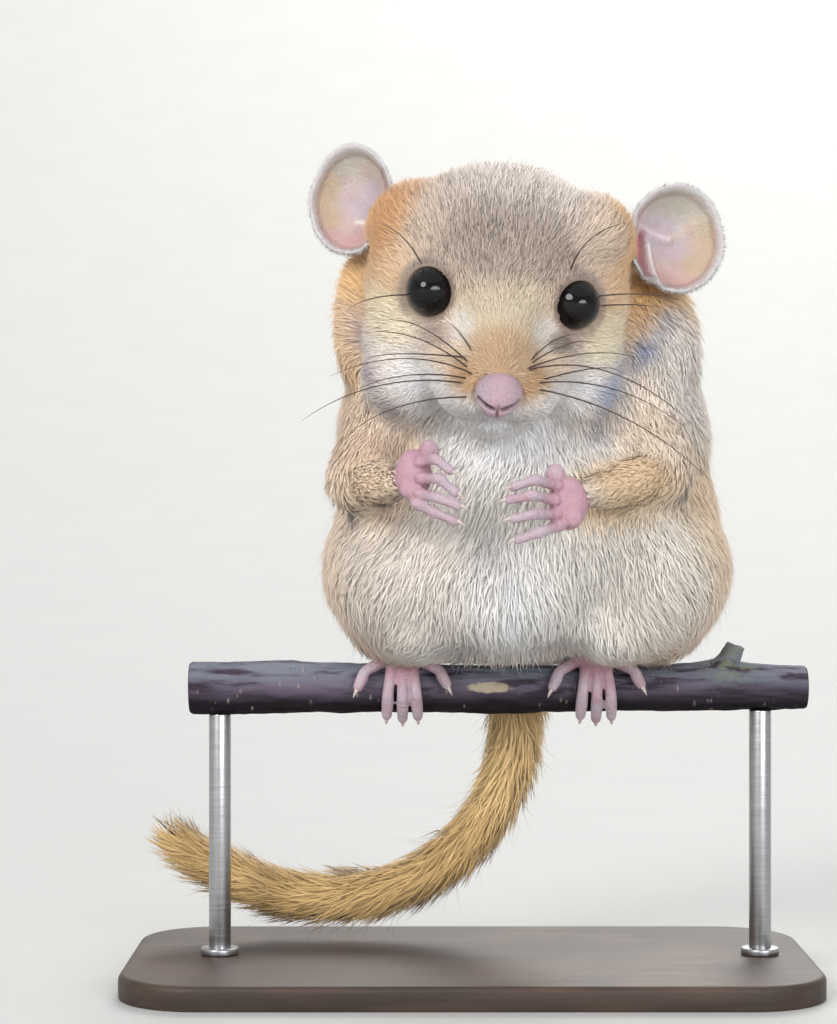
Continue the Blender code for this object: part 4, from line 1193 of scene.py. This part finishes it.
for side_name, hand in HANDS.items():
    palm, wrist = np.array(hand["palm"]), np.array(hand["wrist"])
    masses = [ball(hand["palm"], hand["sizes"]), ball(hand["thumb"], (0.95, 0.85, 1.05))]
    masses.append(digit(((*wrist, 1.25), (*((palm + wrist) / 2), 1.25), (*palm, 1.3))))
    claws = []
    for finger in hand["fingers"]:
        knuckle, bend, tip = (np.array(place) for place in finger)
        root = knuckle + (palm - knuckle) * 0.45
        masses.append(digit((
            (*root, 0.62), (*knuckle, 0.6), (*((knuckle + bend) / 2), 0.48), (*bend, 0.54),
            (*((bend + tip) / 2), 0.44), (*tip, 0.47),
        )))
        masses.append(ball(knuckle + (0, -0.25, 0), (0.62, 0.55, 0.6)))
        way = unit((tip - bend)[None])[0]
        claws.append(claw(tip + way * 0.3 + (0, -0.12, 0.1), way, (0, 0.6, -0.5), 0.85, 0.19))
    masses.append(ball(palm + (SIDES[side_name] * 0.4, -0.9, -1.3), (0.9, 0.6, 0.9)))
    paw("hand_skin_" + side_name, masses, claws, hand["palm"], "hand_" + side_name)

for side_name, place in FEET.items():
    masses = [ball(on_branch(place, 62, 0.2), (2.4, 1.6, 1.2))]
    masses.append(ball(on_branch(place, 100, 0.3), (2.0, 2.2, 1.1)))
    claws = []
    for spread, start, end, bow in TOES:
        tip = spread * (1.0 if abs(spread) > 3 else 0.75)
        bowed = (spread * 0.45 + tip) / 2 + math.copysign(bow, spread) * 0.3
        middle = on_branch(place + bowed, (start + end) / 2, 0.2)
        first = on_branch(place + spread * 0.45, start, 0.05)
        last = on_branch(place + tip, end, 0.0)
        masses.append(digit((
            (*first, 0.68), (*((first * 2 + middle) / 3 + (0, -0.1, 0)), 0.6), (*middle, 0.55),
            (*((middle + last) / 2 + (0, -0.12, 0)), 0.6), (*last, 0.52),
        )))
        masses.append(ball(first + (0, -0.2, 0.2), (0.7, 0.6, 0.7)))
        way = unit((last - middle)[None])[0]
        inward = unit((last * (0, 1, 1))[None])[0]
        claws.append(claw(last + way * 0.35 + inward * 0.15, way, -inward * 0.8, 0.9, 0.2))
    paw("foot_skin_" + side_name, masses, claws, on_branch(place, 62), "foot_" + side_name)


# Coat
# The coat is short dense fur on the body, finer on the head, finest round the nose, eyes and ears, and long
# on the tail. Its outer tufts lean along the lie of the coat and bend back to it, over shorter inner ones,
# and a few long thin guard hairs stand over both.
QUICK_SHARE = 1.0
MOST_TRIANGLES = 195000
TUFT_PATCH = 0.003
ROOT_DEPTH = 0.12 * MM
BRANCH_CLEARANCE = 2.8 * MM
SPREAD_OF_LIGHT = 0.42
STRAND_SIZE = 0.35 * MM
# The coat of an arm follows a line through the shoulder, the elbow and the wrist, in millimetres.
ARM_LINES = {
    "left": ((13.0, -3.6, 32), (15.2, -10.4, 21.6), (7.4, -20.2, 19.4)),
    "right": ((-8.8, -3.8, 32), (-13.8, -10.2, 20.8), (-9.9, -19.2, 20.4)),
}
# An outer tuft has a three-sided root, a three-sided bend and a tip. The others have no bend.
OUTER_FACES = (
    (0, 2, 1), (0, 1, 4), (0, 4, 3), (1, 2, 5), (1, 5, 4), (2, 0, 3), (2, 3, 5), (3, 4, 6), (4, 5, 6),
    (5, 3, 6),
)
STRAIGHT_FACES = ((0, 2, 1), (0, 1, 3), (1, 2, 3), (2, 0, 3))
# Where the points of a tuft lie in its patch of the unwrapped skin, before its tip at (0, 1).
ROOT_SPREAD = ((-0.5, 0), (0.5, 0), (0, 0.1))
KNEE_SPREAD = ((-0.5, 0.5), (0.5, 0.5), (0, 0.6))
# For each kind of tuft: its faces, then its length, width and rise as shares of those of its region.
KINDS = {
    "outer": (OUTER_FACES, 1.0, 1.0, 1.0),
    "inner": (STRAIGHT_FACES, 0.68, 0.98, 1.2),
    "guard": (STRAIGHT_FACES, 1.25, 0.45, 1.5),
}
GUARD_COUNT = 1.4
TAIL_CLUMP = 0.35
BODY_CLUMP = 0.12
LOCK_REACH = 0.5 * MM
STREAK_SHARE = 0.22
STREAK_DARKNESS = 0.5
LID_OPENING = 2.52 * MM
BALL_OPENING = 2.45 * MM
SEAT_OPENING = 2.7 * MM
# The down on the ears, in millimetres and degrees.
DOWN_LENGTH, DOWN_WIDTH, DOWN_RISE = 0.68, 0.07, 24

normals = get_points(skin.data, "normal")
body = (surface - np.array(SEAT)) / MM
to_left = (body[:, 0] > 2)[:, None]
from_nose = surface - np.array(in_head(0, -13.5, -2.5))
front_share = step(4, -10, body[:, 1])
belly = np.stack([(body[:, 0] - 2) / 26 * front_share, np.full(len(body), 0.1), np.full(len(body), -1.0)], 1)
ways = {"head": from_nose, "neck": belly + (0, 0.4, 0), "torso": belly, "thigh": belly + (0, -0.35, 0)}
for part, first, last in (("upper arm", 0, 1), ("forearm", 1, 2)):
    lines = {name: np.array(line[last]) - np.array(line[first]) for name, line in ARM_LINES.items()}
    ways[part] = np.where(to_left, lines["left"], lines["right"])
nearest = np.argmin([np.linalg.norm(surface - place, axis=1) for place in tail_places], axis=0)
ways["tail"] = np.gradient(tail_places, axis=0)[nearest]
flow = sum(unit(ways[name]) * nearness[:, i : i + 1] for i, name in enumerate(REGIONS))
for side in SIDES.values():
    apart = surface - eye_place(side)[0]
    gap = np.linalg.norm(apart, axis=1)
    flow += unit(apart) * (2.2 * np.exp(-np.maximum(gap - EYE_BALL, 0) / (1.1 * MM)))[:, None]
flow = eased(flow, ends, 8)
flow = unit(flow - normals * (flow * normals).sum(1, keepdims=True))


def unwrapped(piece):
    """Unwrap a piece, so that each tuft has a place of its own on it."""
    edited(piece, bpy.ops.uv.smart_project, angle_limit=math.radians(66), island_margin=0.004)


def sown(mesh, per_mm2, values, seed):
    """Scatter tufts over a mesh, each with its place, its unwrapped place and the mesh's values there."""
    draw = np.random.default_rng(seed)
    mesh.calc_loop_triangles()
    corners = np.empty(len(mesh.loop_triangles) * 3, np.int32)
    loops = np.empty(len(mesh.loop_triangles) * 3, np.int32)
    spots = np.empty(len(mesh.loops) * 2, np.float32)
    mesh.loop_triangles.foreach_get("vertices", corners)
    mesh.loop_triangles.foreach_get("loops", loops)
    mesh.uv_layers.active.data.foreach_get("uv", spots)
    corners = corners.reshape(-1, 3)
    spots = spots.reshape(-1, 2)[loops].reshape(-1, 3, 2)
    points = get_points(mesh)
    a, b, c = (points[corners[:, i]] for i in range(3))
    area = np.linalg.norm(np.cross(b - a, c - a), axis=1) / 2 / MM**2
    expected = area * per_mm2[corners].mean(1) * QUICK_SHARE
    total = int(expected.sum())
    picked = np.sort(draw.choice(len(corners), total, p=expected / expected.sum()))
    u, v = draw.random((2, total))
    over = u + v > 1
    u, v = np.where(over, 1 - u, u), np.where(over, 1 - v, v)
    weights = np.stack([1 - u - v, u, v], 1)[:, :, None]
    read = {"place": (points[corners[picked]] * weights).sum(1), "spot": (spots[picked] * weights).sum(1)}
    for name, value in values.items():
        value = value if value.ndim == 2 else value[:, None]
        read[name] = (value[corners[picked]] * weights).sum(1)
    return read


def kept(tufts, wanted):
    return {name: value[wanted] for name, value in tufts.items()}


def clear_of_branch(points):
    """Push points that fall inside the branch out to its bark."""
    from_axis = (points - np.array(SEAT)) * (0, 1, 1)
    gap = np.linalg.norm(from_axis, axis=1)
    pushed = points + unit(from_axis) * (BRANCH_CLEARANCE - gap)[:, None]
    return np.where((gap < BRANCH_CLEARANCE)[:, None], pushed, points)


def gathered(tips, places, clump, reach):
    """Draw the tips of neighbouring tufts together in small locks."""
    draw = np.random.default_rng(len(tips))
    slant = np.array([0.2, 0.1, 1.0])
    leaders = draw.integers(0, len(tips), max(len(tips) // 9, 1))
    leaders = leaders[np.argsort(places[leaders] @ slant)]
    nearest = np.searchsorted(places[leaders] @ slant, places @ slant)
    best, best_gap = leaders[0] * np.ones(len(tips), int), np.full(len(tips), 1.0)
    for shift in range(-16, 17):
        other = leaders[np.clip(nearest + shift, 0, len(leaders) - 1)]
        gap = np.linalg.norm(places[other] - places, axis=1)
        best = np.where(gap < best_gap, other, best)
        best_gap = np.minimum(gap, best_gap)
    pull = clump * np.exp(-((best_gap / reach) ** 2))[:, None]
    return tips + (tips[best] - tips) * pull


def coat_piece(name, tufts, seed, kind, clump=0.0):
    """Build tufts as one mesh of slim closed spikes, each with its patch on the unwrapped skin."""
    draw = np.random.default_rng(seed)
    count = len(tufts["place"])
    place, out = tufts["place"], unit(tufts["normal"])
    along = unit(tufts["flow"] - out * (tufts["flow"] * out).sum(1, keepdims=True))
    swing = draw.normal(0, 0.18, (count, 1)) + 0.2 * ripple(place, 5 * MM, 7)[:, None]
    along = unit(along * np.cos(swing) + np.cross(out, along) * np.sin(swing))
    side = np.cross(out, along)
    pattern, longer, wider, steeper = KINDS[kind]
    outer = kind == "outer"
    length = tufts["length"] * longer * draw.uniform(0.75, 1.2, (count, 1)) * MM
    width = tufts["width"] * wider * draw.uniform(0.7, 1.25, (count, 1)) * MM
    rise = np.radians(tufts["rise"] * steeper * draw.uniform(0.6, 1.4, (count, 1)))
    first, second = (rise * 1.35, rise * 0.45) if outer else (rise, rise)
    root = place - out * ROOT_DEPTH
    knee = place + (along * np.cos(first) + out * np.sin(first)) * length * 0.45
    tip = knee + (along * np.cos(second) + out * np.sin(second)) * length * 0.55
    tip += side * length * draw.normal(0, 0.07, (count, 1))
    if clump:
        tip = gathered(tip, place, clump, LOCK_REACH)
    tip, knee = clear_of_branch(tip), clear_of_branch(knee)
    top = unit(np.cross(tip - root, side))
    top *= np.sign((top * out).sum(1, keepdims=True))
    stages = [(root, 0.7), (knee, 1.0)] if outer else [(root, 1.0)]
    corners = []
    for middle, share in stages:
        half = side * width * share / 2
        corners += [middle - half, middle + half, middle + top * width * share * 0.45]
    points = np.stack([*corners, tip], 1)
    many = points.shape[1]
    faces = (np.arange(count)[:, None, None] * many + np.array(pattern)).reshape(-1, 3)
    piece = mesh_piece(name, points.reshape(-1, 3), faces)

    leaning = (-0.75 * side - 0.35 * top, 0.75 * side - 0.35 * top, top)
    turned = [unit(out + SPREAD_OF_LIGHT * way) for _ in stages for way in leaning]
    turned = np.stack([*turned, unit(out + 0.3 * along)], 1).reshape(-1, 3)
    piece.data.normals_split_custom_set_from_vertices(turned.tolist())

    shade = draw.normal(1.0, 0.05, (count, 1)) + tufts["streak"]
    colours = tufts["colour"] * np.clip(shade, 0.4, 1.3)
    # Each tuft is a little darker at its root and lighter at its tip: partly the hair's own darker base,
    # partly painted shade deep in the coat.
    depths = np.array([0.98] * 3 + [1.0] * 3 + [1.05] if outer else [0.95] * 3 + [1.03])[None, :, None]
    tint(piece.data, np.clip(colours[:, None] * depths, 0, 0.97).reshape(-1, 3))
    spread = np.array([*ROOT_SPREAD, *KNEE_SPREAD][: many - 1] + [(0, 1)])
    spots = np.clip(tufts["spot"][:, None], TUFT_PATCH, 1 - 2 * TUFT_PATCH) + spread[None] * TUFT_PATCH
    layer = piece.data.uv_layers.new(name="OFBake")
    layer.data.foreach_set("uv", spots.reshape(-1, 2)[faces.ravel()].astype(np.float32).ravel())
    finished(piece, name, fur.material, "orange_fur")


fur, fur_tint = tinted("fur", Roughness=0.6, Specular_IOR_Level=0.2, Sheen_Weight=0.2, Sheen_Roughness=0.5)
strands = fur.mixed(fur.noise(STRAND_SIZE), paint(220, 206, 192), (1, 1, 1))
fur.use(Base_Color=fur.mixed(0.2, fur_tint, strands, "MULTIPLY"))

GROUPS = {
    "head": ("head",), "body": ("neck", "torso"), "limbs": ("thigh", "upper arm", "forearm"),
    "tail": ("tail",),
}
unwrapped(skin)
values = {
    "normal": normals, "flow": flow, "length": tuft_length, "width": tuft_width, "rise": tuft_rise,
    "part": nearness,
}
counts = {"outer": outer_count, "inner": inner_count, "guard": np.full(len(surface), GUARD_COUNT)}
for seed, (kind, count) in enumerate(counts.items()):
    tufts = sown(skin.data, count * crowding, values, 21 + seed)
    where = head_places(tufts["place"])
    open_skin = near_line(tufts["place"], mouth_line, 0.2 * MM) < 0.4
    open_skin &= near_line(tufts["place"], groove_line, 0.32 * MM) < 0.4
    for side in SIDES.values():
        gap, ahead, beside = round_eye(tufts["place"], side)
        open_skin &= (beside > LID_OPENING) | (ahead < 0)
        open_skin &= gap > BALL_OPENING
    open_skin &= np.linalg.norm((where - NOSE_PLACE) / (np.array(NOSE_RADII) + 0.02), axis=1) > 1
    seat_gap = np.linalg.norm((tufts["place"] - np.array(SEAT)) * (0, 1, 1), axis=1)
    open_skin &= seat_gap > SEAT_OPENING
    tufts = kept(tufts, open_skin)
    where = where[open_skin]
    tufts["colour"] = markings_and_painted_light(tufts["place"])
    crown = patch(where, (0, 0, 9), (10, 11, 8)) + 0.5 * patch(where, (0, -6, 5), (6, 4, 4))
    draw = np.random.default_rng(5)
    streaked = draw.random(len(where)) < STREAK_SHARE * np.clip(crown, 0, 1)
    tufts["streak"] = (streaked * -STREAK_DARKNESS)[:, None]
    main_part = np.argmax(tufts["part"], axis=1)
    for group, parts in GROUPS.items():
        members = np.flatnonzero(np.isin(main_part, [names.index(part) for part in parts]))
        turn = np.arctan2(tufts["place"][members, 0] - SEAT.x, -tufts["place"][members, 1])
        members = members[np.argsort(turn)]
        pieces = max(1, math.ceil(len(members) * len(KINDS[kind][0]) / MOST_TRIANGLES))
        for number, share in enumerate(np.array_split(members, pieces)):
            clump = (TAIL_CLUMP if group == "tail" else BODY_CLUMP) if kind == "outer" else 0.0
            title = f"{kind}_coat_{group}_{number + 1}"
            coat_piece(title, kept(tufts, share), 100 + 10 * number + seed, kind, clump)

# Short pale down stands on the edge and the back of each ear.
for name, (ear, down_count, down_way, down_colour) in ears.items():
    unwrapped(ear)
    ones = np.ones(len(down_count))
    values = {
        "normal": get_points(ear.data, "normal"), "flow": down_way, "colour": down_colour,
        "length": ones * DOWN_LENGTH, "width": ones * DOWN_WIDTH, "rise": ones * DOWN_RISE,
        "streak": ones * 0,
    }
    coat_piece(name.replace("ear", "ear_down"), sown(ear.data, down_count, values, 61), 63, "inner")


# Whiskers
# Long dark whiskers spring from both sides of the nose and arch out and back, and single ones stand over
# and behind the eyes. Each is one stiff tapering hair.

# A row gives a whisker's root, the middle of its arch and its tip, in millimetres from the seat.
WHISKERS = {
    "right": (
        ((-3.3, -19.8, 32.5), (-4.4, -19.9, 34.2), (-5.6, -18.3, 35.2)),
        ((-3.8, -19.6, 31.5), (-7.6, -20.1, 34.5), (-11.6, -16.6, 35.5)),
        ((-3.9, -19.6, 31.0), (-8.2, -20.1, 33.6), (-13.4, -15.6, 34.4)),
        ((-4.2, -19.3, 31.9), (-9.2, -20.1, 32.2), (-13.2, -16.3, 32.0)),
        ((-3.6, -19.9, 30.3), (-9.2, -21.1, 31.7), (-16.5, -14.9, 30.4)),
        ((-4.2, -19.8, 29.9), (-8.9, -20.8, 30.2), (-14.2, -15.8, 29.0)),
        ((-4.6, -19.7, 29.4), (-11.8, -21.2, 29.2), (-19.4, -13.7, 26.1)),
        ((-4.2, -19.6, 28.1), (-9.2, -20.8, 27.5), (-14.2, -16.6, 25.3)),
        ((-9.2, -15.8, 37.9), (-12.1, -16.3, 37.7), (-15.0, -11.8, 36.9)),
        ((-8.0, -16.0, 40.8), (-9.5, -17.5, 43.1), (-12.4, -14.0, 45.1)),
    ),
    "left": (
        ((2.5, -19.3, 31.7), (4.0, -19.8, 33.2), (6.6, -17.3, 34.2)),
        ((2.7, -19.2, 31.5), (5.3, -19.7, 33.0), (8.5, -16.2, 33.5)),
        ((2.4, -19.5, 30.9), (7.3, -20.5, 32.2), (13.4, -14.5, 32.0)),
        ((2.5, -19.4, 30.5), (9.9, -20.9, 30.3), (19.3, -12.4, 24.6)),
        ((3.4, -19.1, 29.4), (9.6, -20.3, 29.0), (16.8, -14.1, 25.8)),
        ((3.4, -19.2, 28.7), (11.5, -20.7, 25.9), (20.2, -12.2, 20.0)),
        ((3.7, -18.7, 29.9), (8.3, -19.5, 30.9), (11.0, -14.7, 30.6)),
        ((9.0, -14.8, 37.9), (13.0, -15.3, 38.1), (17.7, -9.8, 37.8)),
        ((9.2, -13.7, 37.1), (12.0, -14.2, 37.2), (15.2, -9.7, 37.2)),
        ((6.4, -16.0, 40.3), (7.6, -17.5, 42.8), (11.6, -14.0, 45.0)),
    ),
}
WHISKER_RADIUS = 0.075
WHISKER_TIP = 0.01
ROOT_SUNK = 1.2

whisker_hair, whisker_tint = tinted("whisker", Roughness=0.35, Specular_IOR_Level=0.5)
faded = whisker_hair.noise(1.5 * MM) * 0.2
whisker_hair.use(Base_Color=whisker_hair.mixed(faded, whisker_tint, paint(120, 98, 84)))

for side_name, rows in WHISKERS.items():
    hairs = []
    for row in rows:
        root, arch, tip = (np.array(place) for place in row)
        root = root + unit((root - arch)[None])[0] * ROOT_SUNK
        share = np.linspace(0, 1, 21)[:, None]
        pull = 2 * arch - (root + tip) / 2
        route = (1 - share) ** 2 * root + 2 * share * (1 - share) * pull + share**2 * tip
        radii = WHISKER_RADIUS * (1 - share[:, 0]) ** 0.7 + WHISKER_TIP
        hairs.append(tube("whisker", np.column_stack([route, radii]), 6))
    whiskers = joined(hairs)
    tint(whiskers.data, np.tile(paint(52, 38, 38), (len(whiskers.data.vertices), 1)))
    finished(whiskers, "whiskers_" + side_name, whisker_hair.material, "black_eye")


# Studio
# A pale round floor runs up into a wall in one smooth curve. A soft lamp stands high at the front on the
# left, one low at the front on the right lights the shaded side from below, and one high behind lights the
# edges of the coat. The camera looks level.
CAMERA_PLACE = (-5.15 * MM, -260 * MM, 46.6 * MM)
PICTURE_HEIGHT = 1024
FOCAL_PIXELS = 2600
FILM = 36
FLOOR_MIDDLE = 0.15
FLOOR_REACH = 0.5
FLOOR_AROUND = 96
WALL_CURVE = 2.2
WORLD_COLOUR = (0.82, 0.84, 0.86, 1)
WORLD_STRENGTH = 0.95
LAMP_TARGET = Vector((0, -4, 48)) * MM
# Each lamp has its place and its size in metres, its power in watts and its colour.
LAMPS = (
    ((-0.75, -1.10, 0.80), 0.7, 13.5, (1.0, 0.985, 0.97)),
    ((0.55, -1.20, 0.05), 1.0, 23, (0.97, 0.985, 1.0)),
    ((0.40, 1.90, 1.65), 1.4, 36, (1.0, 0.985, 0.96)),
)

profile = [(reach, 0.0) for reach in np.linspace(FLOOR_MIDDLE, FLOOR_REACH, 8)]
for turn in np.linspace(0, math.pi / 2, 25)[1:]:
    profile.append((FLOOR_REACH + WALL_CURVE * math.sin(turn), WALL_CURVE * (1 - math.cos(turn))))
turns = [math.tau * i / FLOOR_AROUND for i in range(FLOOR_AROUND)]
points = [(reach * math.cos(turn), reach * math.sin(turn), rise) for reach, rise in profile for turn in turns]
faces = [tuple(range(FLOOR_AROUND))] + between_rings(len(profile), FLOOR_AROUND, turned=True)
floor = mesh_piece("floor", points, faces)
pale = Finish("pale_floor", Roughness=0.7, Specular_IOR_Level=0.3)
pale.use(Base_Color=pale.mixed(pale.noise(30 * MM), paint(190, 190, 189), paint(196, 196, 194)))
floor.data.materials.append(pale.material)
floor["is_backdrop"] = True

world = bpy.data.worlds.new("studio")
world.use_nodes = True
world.node_tree.nodes["Background"].inputs["Color"].default_value = WORLD_COLOUR
world.node_tree.nodes["Background"].inputs["Strength"].default_value = WORLD_STRENGTH
bpy.context.scene.world = world

for number, (place, size, power, colour) in enumerate(LAMPS):
    lamp = bpy.data.lights.new(f"lamp_{number + 1}", "AREA")
    lamp.shape = "DISK"
    lamp.size = size
    lamp.energy = power
    lamp.color = colour
    stand = bpy.data.objects.new(lamp.name, lamp)
    stand.location = place
    stand.rotation_euler = (LAMP_TARGET - Vector(place)).to_track_quat("-Z", "Y").to_euler()
    bpy.context.collection.objects.link(stand)

camera = bpy.data.cameras.new("camera")
camera.sensor_width = FILM
camera.lens = FOCAL_PIXELS / PICTURE_HEIGHT * FILM
camera.clip_start = 0.01
viewer = bpy.data.objects.new("camera", camera)
viewer.location = CAMERA_PLACE
viewer.rotation_euler = (math.pi / 2, 0, 0)
bpy.context.collection.objects.link(viewer)
bpy.context.scene.camera = viewer
bpy.context.scene.view_settings.view_transform = "Standard"

shown_lowest, shown_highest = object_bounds()
rows = {"solids": (solid_lowest, solid_highest), "shown": (shown_lowest, shown_highest)}
